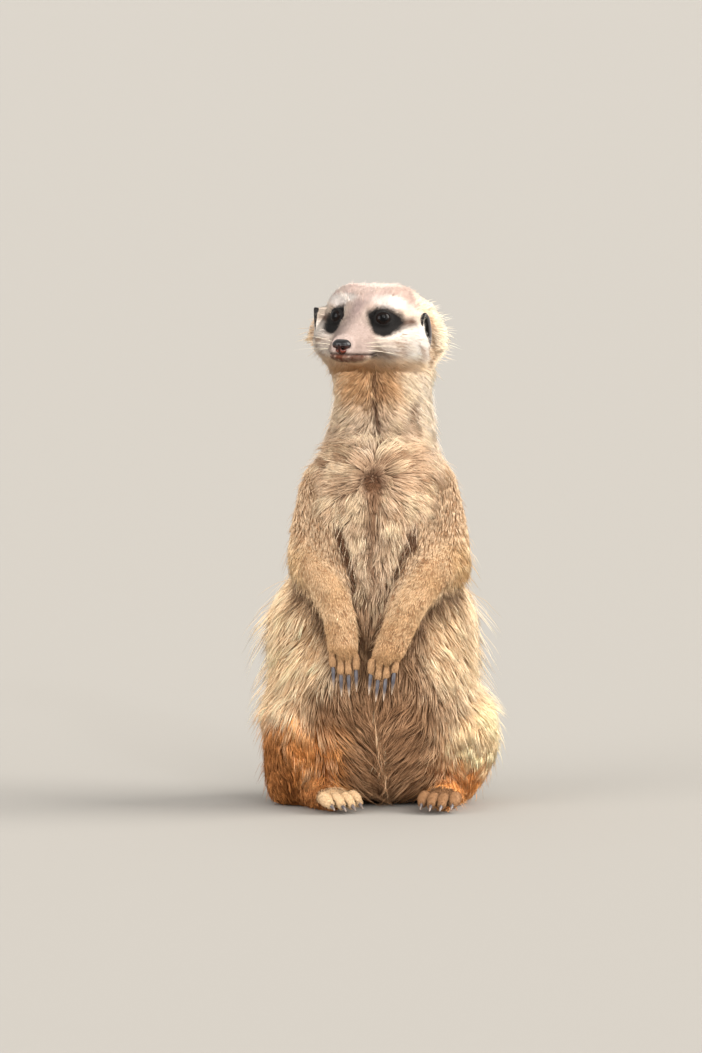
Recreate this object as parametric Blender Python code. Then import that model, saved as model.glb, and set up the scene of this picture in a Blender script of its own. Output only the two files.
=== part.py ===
"""A meerkat sitting upright on its haunches: a still, life-size display model.

The coat counts as solid, so every surface lies where the tips of the fur do.  The trunk, neck and
head are modelled as one smooth body; each arm, each leg and the tail is another.  Thin planar cuts
part them where a person would name the parts.  The animal faces -Y, its head turned to its right
(-X), and sits on the plane z = 0.  Lengths in the tables are millimetres; MM turns them to metres.
"""

import math

import bmesh
import bpy
from mathutils import Matrix, Vector

MM = 0.001
CLEARANCE = 0.3 * MM          # between neighbouring solids
RING = 28                     # points round a lofted section

# Head: its own frame runs forward to the nose, left to the animal's left, and up.
HEAD_CENTRE = Vector((-3, -8, 256)) * MM
HEAD_YAW = math.radians(23)   # turned to the animal's right
HEAD_ROLL = math.radians(1.5) # its right side a little higher
CRANIUM = ((-9, 0, 1), (28.5, 31, 22))
RUFF = ((-6, 0, -5.5), (25, 38.5, 22.5))
TEMPLE = ((-4, 11.5, 5.5), (18, 17, 17.5))
CHEEK = ((5, 16, -8), (18, 14.5, 12))
WHISKER_PAD = ((28.5, 5.6, -12), (9.5, 6.4, 6.2))
EYE_CENTRE = (14.6, 11.8, 5.0)
EYE_RADIUS = 5.6
NOSE_CENTRE = (41.0, 0, -7.3)
NOSE_SIZE = (4.2, 5.2, 4.0)
EAR_CENTRE = (1.5, 30.8, 0.5)
EAR_SIZE = (5.5, 3.4, 10.0)
EAR_LEAN = math.radians(14)   # the top of the ear leans forward

# The face from forehead to nose: distance ahead, middle height, half-width, half-height.
FACE = (
    (-4, -0.5, 30, 22),
    (8, -1.5, 24.5, 20),
    (17, -4.5, 16.5, 16),
    (25, -7.5, 11.8, 12),
    (32, -9, 9.6, 9.4),
    (38, -9.5, 8.2, 7.8),
    (42, -9.5, 6.2, 6.0),
)

# Trunk and neck: height, middle x, middle y, half-width, half-depth.
TRUNK = (
    (-6, 0, 17, 26, 22),
    (6, 0, 14, 41, 35),
    (20, -1, 9, 50, 44),
    (40, -2, 4, 55, 48.5),
    (62, -2.5, 0, 57, 49),
    (84, -2.5, -3, 55, 47),
    (106, -2.5, -4, 51, 44),
    (128, -1.5, -3, 46, 39.5),
    (150, -1, -1.5, 41, 35.5),
    (170, 0, 0, 37.5, 32.5),
    (187, 1, 1, 33.5, 30),
    (203, 2, 1, 29.5, 27),
    (219, 3, 1, 27, 25),
    (232, 1.5, 0, 28, 25),
    (244, 0, 0, 28, 25),
)

# Arms and legs: each bone line's (x, y, z, radius), from the body outwards.
ARMS = {
    "right": ((-26, -2, 171, 16), (-33, -9, 146, 14.5), (-33.5, -17, 132, 13),
              (-26.5, -34, 121, 10.8), (-21, -46, 107, 9.2), (-18.6, -54, 90, 8.2)),
    "left": ((27, -2, 171, 16), (34, -9, 146, 14.5), (34, -16, 132, 13.2),
             (23.5, -34, 122, 11.2), (14.5, -46, 107, 9.6), (5.0, -54, 86, 8.2)),
}
LEGS = {
    "right": ((-36, 24, 38, 25), (-39.5, -2, 47, 23), (-43.5, -22, 44, 18), (-45, -17, 26, 16.5),
              (-46, -2, 9, 14)),
    "left": ((37, 24, 38, 25), (42, -1, 43, 23), (47.5, -17, 38, 18), (46, -9, 23, 14.5),
             (42, 6, 10, 12)),
}
SOLES = {
    "right": ((-45, 4, 8, 9), (-36, -16, 7.5, 8.5), (-25, -33, 6.5, 7.6)),
    "left": ((42, 6, 8, 9), (38.5, -14, 7.5, 8.5), (34, -33, 6.5, 7.6)),
}

# Paws: the middle of the knuckles, the way the digits point, digit spacing and radius, and the
# length of each of the four digits from the knuckles to the claw.
HANDS = {
    "right": dict(knuckles=(-18.0, -56.0, 84), points=(0.03, -0.10, -0.99), across=(1, 0.02, 0),
                  spacing=4.0, radius=2.35, lengths=(4.5, 8.5, 9.0, 6.0)),
    "left": dict(knuckles=(2.6, -56.2, 81), points=(-0.10, -0.10, -0.99), across=(1, 0.0, -0.02),
                 spacing=4.0, radius=2.35, lengths=(5.0, 8.5, 8.0, 4.5)),
}
FEET = {
    "right": dict(knuckles=(-22.2, -37.0, 7.0), points=(0.44, -0.88, -0.17), across=(0.90, 0.43, 0),
                  spacing=5.5, radius=3.5, lengths=(8.5, 11.0, 11.0, 8.5)),
    "left": dict(knuckles=(33.2, -36.5, 7.0), points=(-0.20, -0.96, -0.17), across=(0.98, -0.20, 0),
                 spacing=5.5, radius=3.5, lengths=(8.5, 11.0, 11.0, 8.5)),
}
HAND_CLAW = dict(length=13.5, radius=1.4, droop=14)
FOOT_CLAW = dict(length=7.0, radius=1.5, droop=38)
CLAW_SIDES = 6
CLAW_FLATNESS = 0.85          # its width as a share of its depth

# Tail: laid on the floor behind the rump in one slow bend.
TAIL_ROOT = Vector((3, 36, 0)) * MM
TAIL_LENGTH = 195 * MM
TAIL_BEND = math.radians(52)
TAIL_RADII = (14, 11.5, 9, 7.5, 6.3, 5.4, 4.6)
TAIL_SINK = 0.8 * MM          # how much of its underside is flattened on the floor

# Cuts: a point and a normal; the part on the normal's side comes off.
HEAD_CUT = (Vector((0, 0, 232)) * MM, Vector((0, 0.10, 1)))
NECK_CUT = (Vector((0, 0, 198)) * MM, Vector((0, 0, 1)))
CHEST_CUT = (Vector((0, 0, 127)) * MM, Vector((0, 0, 1)))
SHANK_CUT = (Vector((0, 2, 24)) * MM, Vector((0, -0.5, -0.87)))

COLOURS = {
    "fawn": ((0.60, 0.44, 0.29, 1), 0.85),
    "cream": ((0.78, 0.68, 0.55, 1), 0.85),
    "rust": ((0.50, 0.29, 0.13, 1), 0.85),
    "tail_tip": ((0.07, 0.05, 0.04, 1), 0.8),
    "ear": ((0.12, 0.10, 0.09, 1), 0.75),
    "eye": ((0.01, 0.008, 0.007, 1), 0.08),
    "nose": ((0.03, 0.02, 0.02, 1), 0.3),
    "claw": ((0.20, 0.20, 0.21, 1), 0.4),
}


def material(name):
    """The named coat or horn colour as a Principled material, made once."""
    if name in bpy.data.materials:
        return bpy.data.materials[name]
    colour, roughness = COLOURS[name]
    made = bpy.data.materials.new(name)
    made.use_nodes = True
    shader = made.node_tree.nodes["Principled BSDF"]
    shader.inputs["Base Color"].default_value = colour
    shader.inputs["Roughness"].default_value = roughness
    shader.inputs["Metallic"].default_value = 0.0
    return made


def head_point(local):
    """A point of the head's own frame (ahead, left, up) in millimetres, placed in the model."""
    return HEAD_CENTRE + head_turn().to_3x3() @ Vector(local) * MM


def head_turn():
    """The rotation that carries the head's own axes (ahead, left, up) into the model."""
    forward = Vector((-math.sin(HEAD_YAW), -math.cos(HEAD_YAW), 0))
    level = Vector((math.cos(HEAD_YAW), -math.sin(HEAD_YAW), 0))
    leftward = level * math.cos(HEAD_ROLL) - Vector((0, 0, math.sin(HEAD_ROLL)))
    upward = level * math.sin(HEAD_ROLL) + Vector((0, 0, math.cos(HEAD_ROLL)))
    return Matrix((forward, leftward, upward)).transposed().to_4x4()


def new_object(name, mesh):
    made = bpy.data.objects.new(name, mesh)
    bpy.context.scene.collection.objects.link(made)
    return made


def add_ellipsoid(bm, centre, radii, turn=None, detail=24):
    """An ellipsoid with its three radii along the axes of the turn."""
    place = Matrix.Translation(centre) @ (turn or Matrix.Identity(4))
    shape = Matrix.Diagonal((*radii, 1))
    bmesh.ops.create_uvsphere(bm, u_segments=detail, v_segments=detail // 2, radius=1,
                              matrix=place @ shape)


def add_rings(bm, rings):
    """A closed tube through rings of points, its two ends closed flat."""
    loops = [[bm.verts.new(point) for point in ring] for ring in rings]
    count = len(loops[0])
    for here, there in zip(loops, loops[1:]):
        for i in range(count):
            j = (i + 1) % count
            bm.faces.new((here[i], here[j], there[j], there[i]))
    bm.faces.new(list(reversed(loops[0])))
    bm.faces.new(loops[-1])


def between(rows, steps):
    """The rows with steps - 1 more between each pair, on a Catmull-Rom curve."""
    rows = [Vector(row) for row in rows]
    ends = [rows[0] * 2 - rows[1], *rows, rows[-1] * 2 - rows[-2]]
    smooth = []
    for a, b, c, d in zip(ends, ends[1:], ends[2:], ends[3:]):
        for step in range(steps):
            t = step / steps
            smooth.append(0.5 * (2 * b + (c - a) * t + (2 * a - 5 * b + 4 * c - d) * t ** 2
                                 + (3 * b - 3 * c + d - a) * t ** 3))
    return [*smooth, rows[-1]]


def ellipse(centre, across, along, squareness=2.0):
    """The points of an ellipse about the centre; a squareness over 2 fills its corners."""
    points = []
    for i in range(RING):
        angle = 2 * math.pi * i / RING
        c, s = math.cos(angle), math.sin(angle)
        grow = (abs(c) ** squareness + abs(s) ** squareness) ** (-1 / squareness)
        points.append(centre + (across * c + along * s) * grow)
    return points


def add_limb(bm, rows):
    """A round limb along (x, y, z, radius) rows, with domed ends."""
    rows = [row * MM for row in between([Vector(row) for row in rows], 4)]
    rings = []
    for i, row in enumerate(rows):
        ahead = (rows[min(i + 1, len(rows) - 1)] - rows[max(i - 1, 0)]).to_3d().normalized()
        across = ahead.orthogonal().normalized()
        up = ahead.cross(across)
        if rings:
            across = (turned - ahead * turned.dot(ahead)).normalized()
            up = ahead.cross(across)
        turned = across
        rings.append(ellipse(row.to_3d(), across * row.w, up * row.w))
    add_rings(bm, rings)
    for end in (rows[0], rows[-1]):
        add_ellipsoid(bm, end.to_3d(), (end.w,) * 3)


def smooth_body(name, build, voxel, smoothing, triangles):
    """One closed, smooth, faceted body from the overlapping shapes that build() adds."""
    bm = bmesh.new()
    build(bm)
    bmesh.ops.recalc_face_normals(bm, faces=bm.faces)
    mesh = bpy.data.meshes.new(name)
    bm.to_mesh(mesh)
    bm.free()
    body = new_object(name, mesh)
    remesh = body.modifiers.new("skin", "REMESH")
    remesh.mode = "VOXEL"
    remesh.voxel_size = voxel * MM
    smooth = body.modifiers.new("soften", "SMOOTH")
    smooth.iterations = smoothing
    faces = bpy.data.meshes.new_from_object(body.evaluated_get(bpy.context.evaluated_depsgraph_get()))
    decimate = body.modifiers.new("facet", "DECIMATE")
    decimate.use_collapse_triangulate = True
    decimate.ratio = triangles / (2 * len(faces.polygons))
    bpy.data.meshes.remove(faces)
    return bake(body)


def bake(body):
    """The object's modifiers applied to its mesh."""
    bpy.context.view_layer.update()
    evaluated = body.evaluated_get(bpy.context.evaluated_depsgraph_get())
    mesh = bpy.data.meshes.new_from_object(evaluated)
    body.modifiers.clear()
    body.data = mesh
    return body


def cut_away(body, point, normal):
    """Removes what lies on the normal's side of the plane and closes the cut flat."""
    bm = bmesh.new()
    bm.from_mesh(body.data)
    geometry = [*bm.verts, *bm.edges, *bm.faces]
    bmesh.ops.bisect_plane(bm, geom=geometry, dist=1e-7, plane_co=point, plane_no=normal,
                           clear_outer=True)
    rim = [edge for edge in bm.edges if edge.is_boundary]
    bmesh.ops.edgeloop_fill(bm, edges=rim)
    bmesh.ops.triangulate(bm, faces=[face for face in bm.faces if len(face.verts) > 4])
    bmesh.ops.recalc_face_normals(bm, faces=bm.faces)
    bm.to_mesh(body.data)
    bm.free()


def part_at(body, cut, name):
    """Cuts the body in two with a thin slot; the part past the plane becomes a new object."""
    point, normal = cut
    normal = normal.normalized()
    piece = new_object(name, body.data.copy())
    cut_away(body, point - normal * CLEARANCE / 2, normal)
    cut_away(piece, point + normal * CLEARANCE / 2, -normal)
    return piece


def stand_on_floor(body):
    """Flattens the underside at z = 0."""
    cut_away(body, Vector((0, 0, 0)), Vector((0, 0, -1)))


def make_room(body, neighbour):
    """Hollows the body where the neighbour sits, with the clearance round it."""
    cutter = new_object("cutter", neighbour.data.copy())
    cutter.matrix_world = neighbour.matrix_world
    cutter.hide_render = True
    cutter.display_type = "WIRE"
    swell = cutter.modifiers.new("swell", "DISPLACE")
    swell.strength = CLEARANCE
    swell.mid_level = 0
    bake(cutter)
    boolean = body.modifiers.new("room", "BOOLEAN")
    boolean.operation = "DIFFERENCE"
    boolean.solver = "EXACT"
    boolean.object = cutter
    bake(body)
    bpy.data.objects.remove(cutter)


def finish(body, colour):
    """Gives the body its one material, and smooth shading between its flat cuts."""
    body.data.materials.clear()
    body.data.materials.append(material(colour))
    body.data.shade_smooth()
    body.data.set_sharp_from_angle(angle=math.radians(50))
    return body


def build_trunk(bm):
    """Trunk and neck as one upright loft."""
    rings = []
    for z, x, y, half_width, half_depth in between(TRUNK, 3):
        centre = Vector((x, y, z)) * MM
        across = Vector((half_width, 0, 0)) * MM
        along = Vector((0, half_depth, 0)) * MM
        rings.append(ellipse(centre, across, along, 2.2))
    add_rings(bm, rings)


def build_head(bm):
    """Skull, ruff, cheeks, brows and muzzle, on the top of the neck."""
    build_trunk(bm)
    turn = head_turn()
    leftward = turn.to_3x3() @ Vector((0, 1, 0))
    upward = turn.to_3x3() @ Vector((0, 0, 1))
    rings = []
    for ahead, up, half_width, half_height in between(FACE, 3):
        centre = head_point((ahead, 0, up))
        rings.append(ellipse(centre, leftward * half_width * MM, upward * half_height * MM, 2.2))
    add_rings(bm, rings)
    for centre, radii in (CRANIUM, RUFF):
        add_ellipsoid(bm, head_point(centre), Vector(radii) * MM, turn, 40)
    for side in (-1, 1):
        for (ahead, left, up), radii in (CHEEK, TEMPLE, WHISKER_PAD):
            add_ellipsoid(bm, head_point((ahead, side * left, up)), Vector(radii) * MM, turn)


def digits(paw):
    """The (knuckle, claw root) points of a paw's four digits, and the way they point."""
    knuckles = Vector(paw["knuckles"])
    points = Vector(paw["points"]).normalized()
    across = Vector(paw["across"]).normalized()
    lines = []
    for i, length in enumerate(paw["lengths"]):
        root = knuckles + across * (i - 1.5) * paw["spacing"]
        lines.append((root, root + points * length))
    return lines, points


def add_paw(bm, wrist, paw):
    """A palm that spreads from the wrist to four digits."""
    lines, points = digits(paw)
    for root, tip in lines:
        radius = paw["radius"]
        start = wrist[:3] + [max(radius, wrist[3] * 0.42)]
        add_limb(bm, (start, (*root, radius * 1.08), (*tip, radius * 0.86)))


def build_arm(side):
    def build(bm):
        add_limb(bm, ARMS[side])
        add_paw(bm, list(ARMS[side][-1]), HANDS[side])
    return build


def build_leg(side):
    def build(bm):
        add_limb(bm, LEGS[side])
        add_limb(bm, SOLES[side])
        add_paw(bm, list(SOLES[side][-1]), FEET[side])
    return build


def tail_rows():
    """The tail's centre line on the floor, bending steadily to the animal's left."""
    pieces = len(TAIL_RADII) - 1
    step = TAIL_LENGTH / pieces / MM
    x, y, _ = TAIL_ROOT / MM
    rows = []
    for i, radius in enumerate(TAIL_RADII):
        rows.append((x, y, radius - TAIL_SINK / MM, radius))
        heading = TAIL_BEND * (i / pieces - 0.35)
        x += step * math.sin(heading)
        y += step * math.cos(heading)
    return rows


def add_claw(name, root, points, down, claw):
    """A claw that tapers to a point and curves downwards as it leaves the digit."""
    steps = 4
    side = points.cross(down).normalized()
    if side.length == 0:
        side = Vector((1, 0, 0))
    bm = bmesh.new()
    rings = []
    at = Vector(root)
    for i in range(steps):
        share = i / steps
        bend = math.radians(claw["droop"]) * share
        ahead = points * math.cos(bend) + down * math.sin(bend)
        radius = claw["radius"] * (1 - share) ** 0.7
        top = ahead.cross(side)
        ring = []
        for k in range(CLAW_SIDES):
            angle = 2 * math.pi * k / CLAW_SIDES
            spoke = side * math.cos(angle) * CLAW_FLATNESS + top * math.sin(angle)
            ring.append((at + spoke * radius) * MM)
        rings.append(ring)
        at = at + ahead * claw["length"] / steps
    add_rings(bm, rings)
    tip = bm.verts.new(at * MM)
    end = next(face for face in bm.faces if all(vert.co in rings[-1] for vert in face.verts))
    rim = list(end.verts)
    bm.faces.remove(end)
    for a, b in zip(rim, [*rim[1:], rim[0]]):
        bm.faces.new((a, b, tip))
    bmesh.ops.recalc_face_normals(bm, faces=bm.faces)
    bmesh.ops.triangulate(bm, faces=bm.faces)
    mesh = bpy.data.meshes.new(name)
    bm.to_mesh(mesh)
    bm.free()
    return new_object(name, mesh)


def ellipsoid_object(name, centre, radii, turn, detail):
    bm = bmesh.new()
    add_ellipsoid(bm, centre, radii, turn, detail)
    bmesh.ops.triangulate(bm, faces=bm.faces)
    mesh = bpy.data.meshes.new(name)
    bm.to_mesh(mesh)
    bm.free()
    return new_object(name, mesh)


def make_head_parts(head):
    """Eyes, nose leather and ears, each let into the head."""
    turn = head_turn()
    made = {}
    for side, sign in (("right", -1), ("left", 1)):
        ahead, left, up = EYE_CENTRE
        eye = ellipsoid_object(f"eye_{side}", head_point((ahead, sign * left, up)),
                               (EYE_RADIUS * MM,) * 3, turn, 14)
        made[eye] = "eye"
        ahead, left, up = EAR_CENTRE
        lean = turn @ Matrix.Rotation(-EAR_LEAN, 4, "Y")
        ear = ellipsoid_object(f"ear_{side}", head_point((ahead, sign * left, up)),
                               Vector(EAR_SIZE) * MM, lean, 12)
        made[ear] = "ear"
    nose = ellipsoid_object("nose", head_point(NOSE_CENTRE), Vector(NOSE_SIZE) * MM, turn, 12)
    made[nose] = "nose"
    for body, colour in made.items():
        make_room(head, body)
        finish(body, colour)


def main():
    for old in list(bpy.data.objects):
        bpy.data.objects.remove(old)

    skull = smooth_body("skull", build_head, voxel=1.6, smoothing=5, triangles=2600)
    head = part_at(skull, HEAD_CUT, "head")
    bpy.data.objects.remove(skull)
    trunk = smooth_body("abdomen", build_trunk, voxel=2.5, smoothing=4, triangles=1100)
    stand_on_floor(trunk)

    coat = {}
    for side in ("right", "left"):
        arm = smooth_body(f"upper_arm_{side}", build_arm(side), voxel=1.0, smoothing=3, triangles=500)
        make_room(arm, trunk)
        elbow = Vector(ARMS[side][2][:3]) * MM
        wrist = Vector(ARMS[side][-1][:3]) * MM
        hand = part_at(arm, (wrist, Vector((0, -0.25, -1))), f"hand_{side}")
        forearm = part_at(arm, (elbow, Vector((0, -0.85, -0.5))), f"forearm_{side}")

        leg = smooth_body(f"thigh_{side}", build_leg(side), voxel=1.2, smoothing=3, triangles=460)
        stand_on_floor(leg)
        make_room(leg, trunk)
        shank = part_at(leg, SHANK_CUT, f"shank_{side}")
        instep = (Vector(SOLES[side][1][:3]) + Vector(SOLES[side][2][:3])) / 2 * MM
        ahead = Vector(FEET[side]["points"])
        foot = part_at(shank, (instep, Vector((ahead.x, ahead.y, -0.7))), f"foot_{side}")
        coat |= {arm: "fawn", forearm: "fawn", hand: "fawn", leg: "rust", shank: "rust", foot: "fawn"}

    tail = smooth_body("tail_base", lambda bm: add_limb(bm, tail_rows()), voxel=1.5, smoothing=3,
                       triangles=220)
    stand_on_floor(tail)
    make_room(tail, trunk)
    coat[tail] = "fawn"
    rows = tail_rows()
    for index, name, colour in ((4, "tail_tip", "tail_tip"), (2, "tail_middle", "fawn")):
        x, y, _, _ = rows[index]
        ahead = Vector((x - rows[index - 1][0], y - rows[index - 1][1], 0))
        coat[part_at(tail, (Vector((x, y, 0)) * MM, ahead), name)] = colour

    top = part_at(trunk, HEAD_CUT, "top")
    bpy.data.objects.remove(top)
    neck = part_at(trunk, NECK_CUT, "neck")
    chest = part_at(trunk, CHEST_CUT, "chest")
    coat |= {head: "cream", neck: "fawn", chest: "fawn", trunk: "fawn"}
    for side in ("right", "left"):
        for paw, claw, down, name in ((HANDS[side], HAND_CLAW, Vector((0, 1, -0.2)), f"hand_{side}"),
                                      (FEET[side], FOOT_CLAW, Vector((0, 0, -1)), f"foot_{side}")):
            lines, points = digits(paw)
            for number, (_, tip) in enumerate(lines, 1):
                made = add_claw(f"claw_{name}_{number}", tip, points, down.normalized(), claw)
                make_room(bpy.data.objects[name], made)
                finish(made, "claw")
    make_head_parts(head)
    for body, colour in coat.items():
        finish(body, colour)


main()
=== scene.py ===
"""Looks of the sitting meerkat: one skin under a coat of tufts, with eyes, ears, nose, claws and whiskers.

Lengths are in millimetres until a mesh is made, and angles in degrees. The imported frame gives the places:
the skin is grown from the flesh nodes, and the head's own axes come from the eyes and the nose.
"""

import math

import bmesh
import bpy
import numpy as np
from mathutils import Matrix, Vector
from mathutils.bvhtree import BVHTree
from mathutils.kdtree import KDTree


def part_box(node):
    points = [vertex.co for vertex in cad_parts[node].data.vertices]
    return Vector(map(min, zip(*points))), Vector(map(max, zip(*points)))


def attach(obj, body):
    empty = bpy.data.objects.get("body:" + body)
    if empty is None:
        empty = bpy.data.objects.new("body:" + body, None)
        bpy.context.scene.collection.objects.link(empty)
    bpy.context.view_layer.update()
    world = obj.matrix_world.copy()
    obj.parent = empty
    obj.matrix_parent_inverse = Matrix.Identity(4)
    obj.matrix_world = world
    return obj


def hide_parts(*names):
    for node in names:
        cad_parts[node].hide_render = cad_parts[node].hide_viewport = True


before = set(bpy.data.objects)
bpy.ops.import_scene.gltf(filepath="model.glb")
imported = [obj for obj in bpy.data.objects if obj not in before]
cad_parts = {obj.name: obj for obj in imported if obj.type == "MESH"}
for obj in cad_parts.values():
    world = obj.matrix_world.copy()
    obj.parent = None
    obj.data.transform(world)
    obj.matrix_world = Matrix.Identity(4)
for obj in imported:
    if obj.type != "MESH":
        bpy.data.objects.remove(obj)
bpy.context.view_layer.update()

MM = 0.001
SIDES = ("right", "left")
SIGN = {"right": -1, "left": 1}
ARM = ("upper_arm", "forearm", "hand")
LEG = ("thigh", "shank", "foot")
rng = np.random.default_rng(11)

# ---------------------------------------------------------------- the camera and the light
CAMERA_AIM = (-14.4, 0.0, 148.5)
CAMERA_DISTANCE = 3900.0
CAMERA_HEIGHT_ANGLE = 5.0
VIEW_HEIGHT = 561.3
SENSOR = 36.0

# ---------------------------------------------------------------- the skin
SEAM_CLOSING = 0.45
SKIN_VOXEL = 1.0
BODY_SMOOTHING = 8
BODY_KEPT = 0.30  # the share of the trunk's triangles that stays under the long coat
SKIN_OVER_FLOOR = 0.1

# Each group of nodes has one kind of coat: its depth over the skin, then its tufts' length, the height of
# their tips, their width, the size of a clump and the pull into it
COATS = {
    "head": (1.3, 5.0, 1.5, 0.32, 2.6, 0.35),
    "neck": (3.6, 9.5, 3.2, 0.42, 3.4, 0.50),
    "chest": (5.0, 13.0, 4.2, 0.48, 4.8, 0.60),
    "belly": (6.0, 16.0, 5.2, 0.52, 5.4, 0.65),
    "upper_arm": (2.2, 7.0, 2.3, 0.40, 3.2, 0.55),
    "forearm": (0.9, 4.0, 1.3, 0.32, 2.4, 0.50),
    "hand": (0.7, 2.6, 0.8, 0.28, 1.6, 0.20),
    "thigh": (4.4, 14.0, 4.4, 0.50, 5.0, 0.60),
    "shank": (2.6, 9.0, 3.2, 0.46, 4.0, 0.55),
    "foot": (0.7, 2.8, 0.9, 0.30, 1.6, 0.20),
    "tail": (1.6, 9.0, 1.9, 0.46, 3.5, 0.35),
}
GROUP_OF_NODE = {
    "head": "head",
    "neck": "neck",
    "chest": "chest",
    "abdomen": "belly",
    "tail_base": "tail",
    "tail_middle": "tail",
    "tail_tip": "tail",
}
for side in SIDES:
    for part in ARM + LEG:
        GROUP_OF_NODE[f"{part}_{side}"] = part
FLESH = list(GROUP_OF_NODE)
FEATURES = ["ear_right", "ear_left", "eye_right", "eye_left", "nose"]
GROUPS = list(COATS)
GROUPS_OF_FLESH = [GROUP_OF_NODE[node] for node in FLESH]

# ---------------------------------------------------------------- the head: ahead, left and up of its centre
NOSE_DROP = math.atan2(12.3, 26.4)  # how far the line from between the eyes to the nose falls, in radians
EYES_AHEAD = 14.6
EYES_UP = 5.0
EYE_RADIUS = 5.6
EYE_TURN = 27.0
EYE_TILT = 10.0
EYE_OPENING = (41.0, 31.0)  # half-width and half-height of the opening between the lids, in degrees
LID_THICKNESS = 0.35
EAR_HALF = (3.6, 9.2)  # half the ear's width and height
EAR_LEAN = 14.0
EAR_SHIFT = {"right": (-0.2, -2.1, -1.6), "left": (-2.0, 1.2, -1.6)}  # from the middle of the ear's node
EAR_LEVEL = -1.8  # how far the skin round the ear lies outside the ear node's middle
MOUTH_UP = -13.0
MOUTH_CORNER_AHEAD = 24.0
MARKING_MIDDLE = -3.0  # the pale stripe between the eyes runs a little to the right of the middle
NOSE_HALF = (3.8, 5.4, 4.4)
NOSE_BARE = 4.6  # no tufts start within this of the nose's middle
# How far ahead, aside and up each whisker starts: three rows on each side
WHISKER_ROOTS = [
    (33.0 - 2.6 * column - 0.5 * row, 7.4 + 0.55 * column, -7.6 - 1.5 * row)
    for row in range(3)
    for column in range(4 - (row == 0))
]

# ---------------------------------------------------------------- fingers, toes and claws
DIGIT_RADIUS = {"hand": 1.95, "foot": 3.05}
DIGIT_LENGTH = {"hand": 9.5, "foot": 11.0}
DIGITS_POINT = {
    "hand_right": (0.03, -0.10, -0.99),
    "hand_left": (-0.10, -0.10, -0.99),
    "foot_right": (0.44, -0.88, -0.17),
    "foot_left": (-0.20, -0.96, -0.17),
}
CLAW_RADIUS = 1.42

# ---------------------------------------------------------------- the coat
STRAYS = 0.05  # the share of tufts that are longer, finer and stand out
PALE_LOCKS = 0.35  # the share of clumps of long hair that are paler
COAT_OVER_FLOOR = 0.2
COAT_HALF_WIDTH = 66.0  # hairs further out than this bend back
COAT_BEND = 0.35  # by this share of what they are past it
PATCH = 0.003  # the width of a tuft's patch on the unwrap
BAR_SPACING = 14.5  # of the dark bars on the back
RIPPLE_SPACING = 3.1  # of the dark ripples on the arms
# The inner edges of the arms in front of the trunk: heights, then x on the right and on the left
ARM_EDGE_Z = (91.0, 105.0, 117.0, 131.0, 145.0, 154.0)
ARM_EDGE_RIGHT = (-11.4, -11.4, -13.8, -16.7, -21.4, -23.5)
ARM_EDGE_LEFT = (-2.7, 1.5, 6.0, 13.0, 18.7, 20.5)
WHORL = (-2.7, 175.0)  # x and z of the whorl on the chest
# The seam down the lower belly
SEAM_Z = (18.0, 32.0, 47.0, 60.0)
SEAM_X = (4.8, 3.2, -0.5, -1.6)


# ================================================================ small helpers
def unit(vectors):
    vectors = np.asarray(vectors, float)
    return vectors / np.maximum(np.linalg.norm(vectors, axis=-1, keepdims=True), 1e-9)


def ramp(value, low, high):
    """Rises smoothly from 0 at low to 1 at high, or falls where high is the smaller."""
    t = np.clip((value - low) / (high - low), 0, 1)
    return t * t * (3 - 2 * t)


def bump(value, middle, width):
    """1 at the middle, falling smoothly to nothing a few widths away."""
    return np.exp(-(((value - middle) / width) ** 2))


def mix(a, b, share):
    """From a to b, row by row, as the share goes from 0 to 1."""
    share = np.asarray(share, float)[..., None]
    return np.asarray(a) * (1 - share) + np.asarray(b) * share


def rgb(red, green, blue):
    """A linear colour from the usual 0 to 255 values."""
    c = np.array((red, green, blue)) / 255
    return np.where(c <= 0.04045, c / 12.92, ((c + 0.055) / 1.055) ** 2.4)


def wavy(points, size, seed):
    """Smooth noise between about -1 and 1, made of a few crossing waves."""
    waves = np.random.default_rng(900 + seed)
    total = np.zeros(len(points))
    weight = 0.0
    for octave in range(2):
        for _ in range(5):
            way = unit(waves.normal(size=3)) * (2 * math.pi / size) * (1.9**octave) * waves.uniform(0.6, 1.3)
            total += np.sin(points @ way + waves.uniform(0, 2 * math.pi)) / (1.7**octave)
            weight += 0.35 / (1.7**octave)
    return total / weight


def centre_of(node):
    """The middle of a node's box, in millimetres."""
    low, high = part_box(node)
    return (np.array(low) + np.array(high)) / 2 / MM


def read_mesh(mesh):
    """The vertices in millimetres and the triangles of a mesh."""
    points = np.empty(len(mesh.vertices) * 3)
    mesh.vertices.foreach_get("co", points)
    mesh.calc_loop_triangles()
    corners = np.empty(len(mesh.loop_triangles) * 3, dtype=np.int32)
    mesh.loop_triangles.foreach_get("vertices", corners)
    return points.reshape(-1, 3) / MM, corners.reshape(-1, 3)


def new_piece(name, points, faces, material, colours):
    """An object from arrays: points in millimetres, faces all of one length, and a colour at each point."""
    sides = faces.shape[1]
    mesh = bpy.data.meshes.new(name)
    mesh.vertices.add(len(points))
    mesh.vertices.foreach_set("co", (points * MM).astype(np.float32).ravel())
    mesh.loops.add(faces.size)
    mesh.loops.foreach_set("vertex_index", faces.astype(np.int32).ravel())
    mesh.polygons.add(len(faces))
    mesh.polygons.foreach_set("loop_start", np.arange(0, faces.size, sides, dtype=np.int32))
    mesh.polygons.foreach_set("use_smooth", np.ones(len(faces), bool))
    mesh.update(calc_edges=True)
    paint(mesh, colours)
    mesh.materials.append(material)
    piece = put(name, mesh)
    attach(piece, "root")
    return piece


def put(name, data):
    """Puts an object in the scene."""
    thing = bpy.data.objects.new(name, data)
    bpy.context.scene.collection.objects.link(thing)
    return thing


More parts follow.
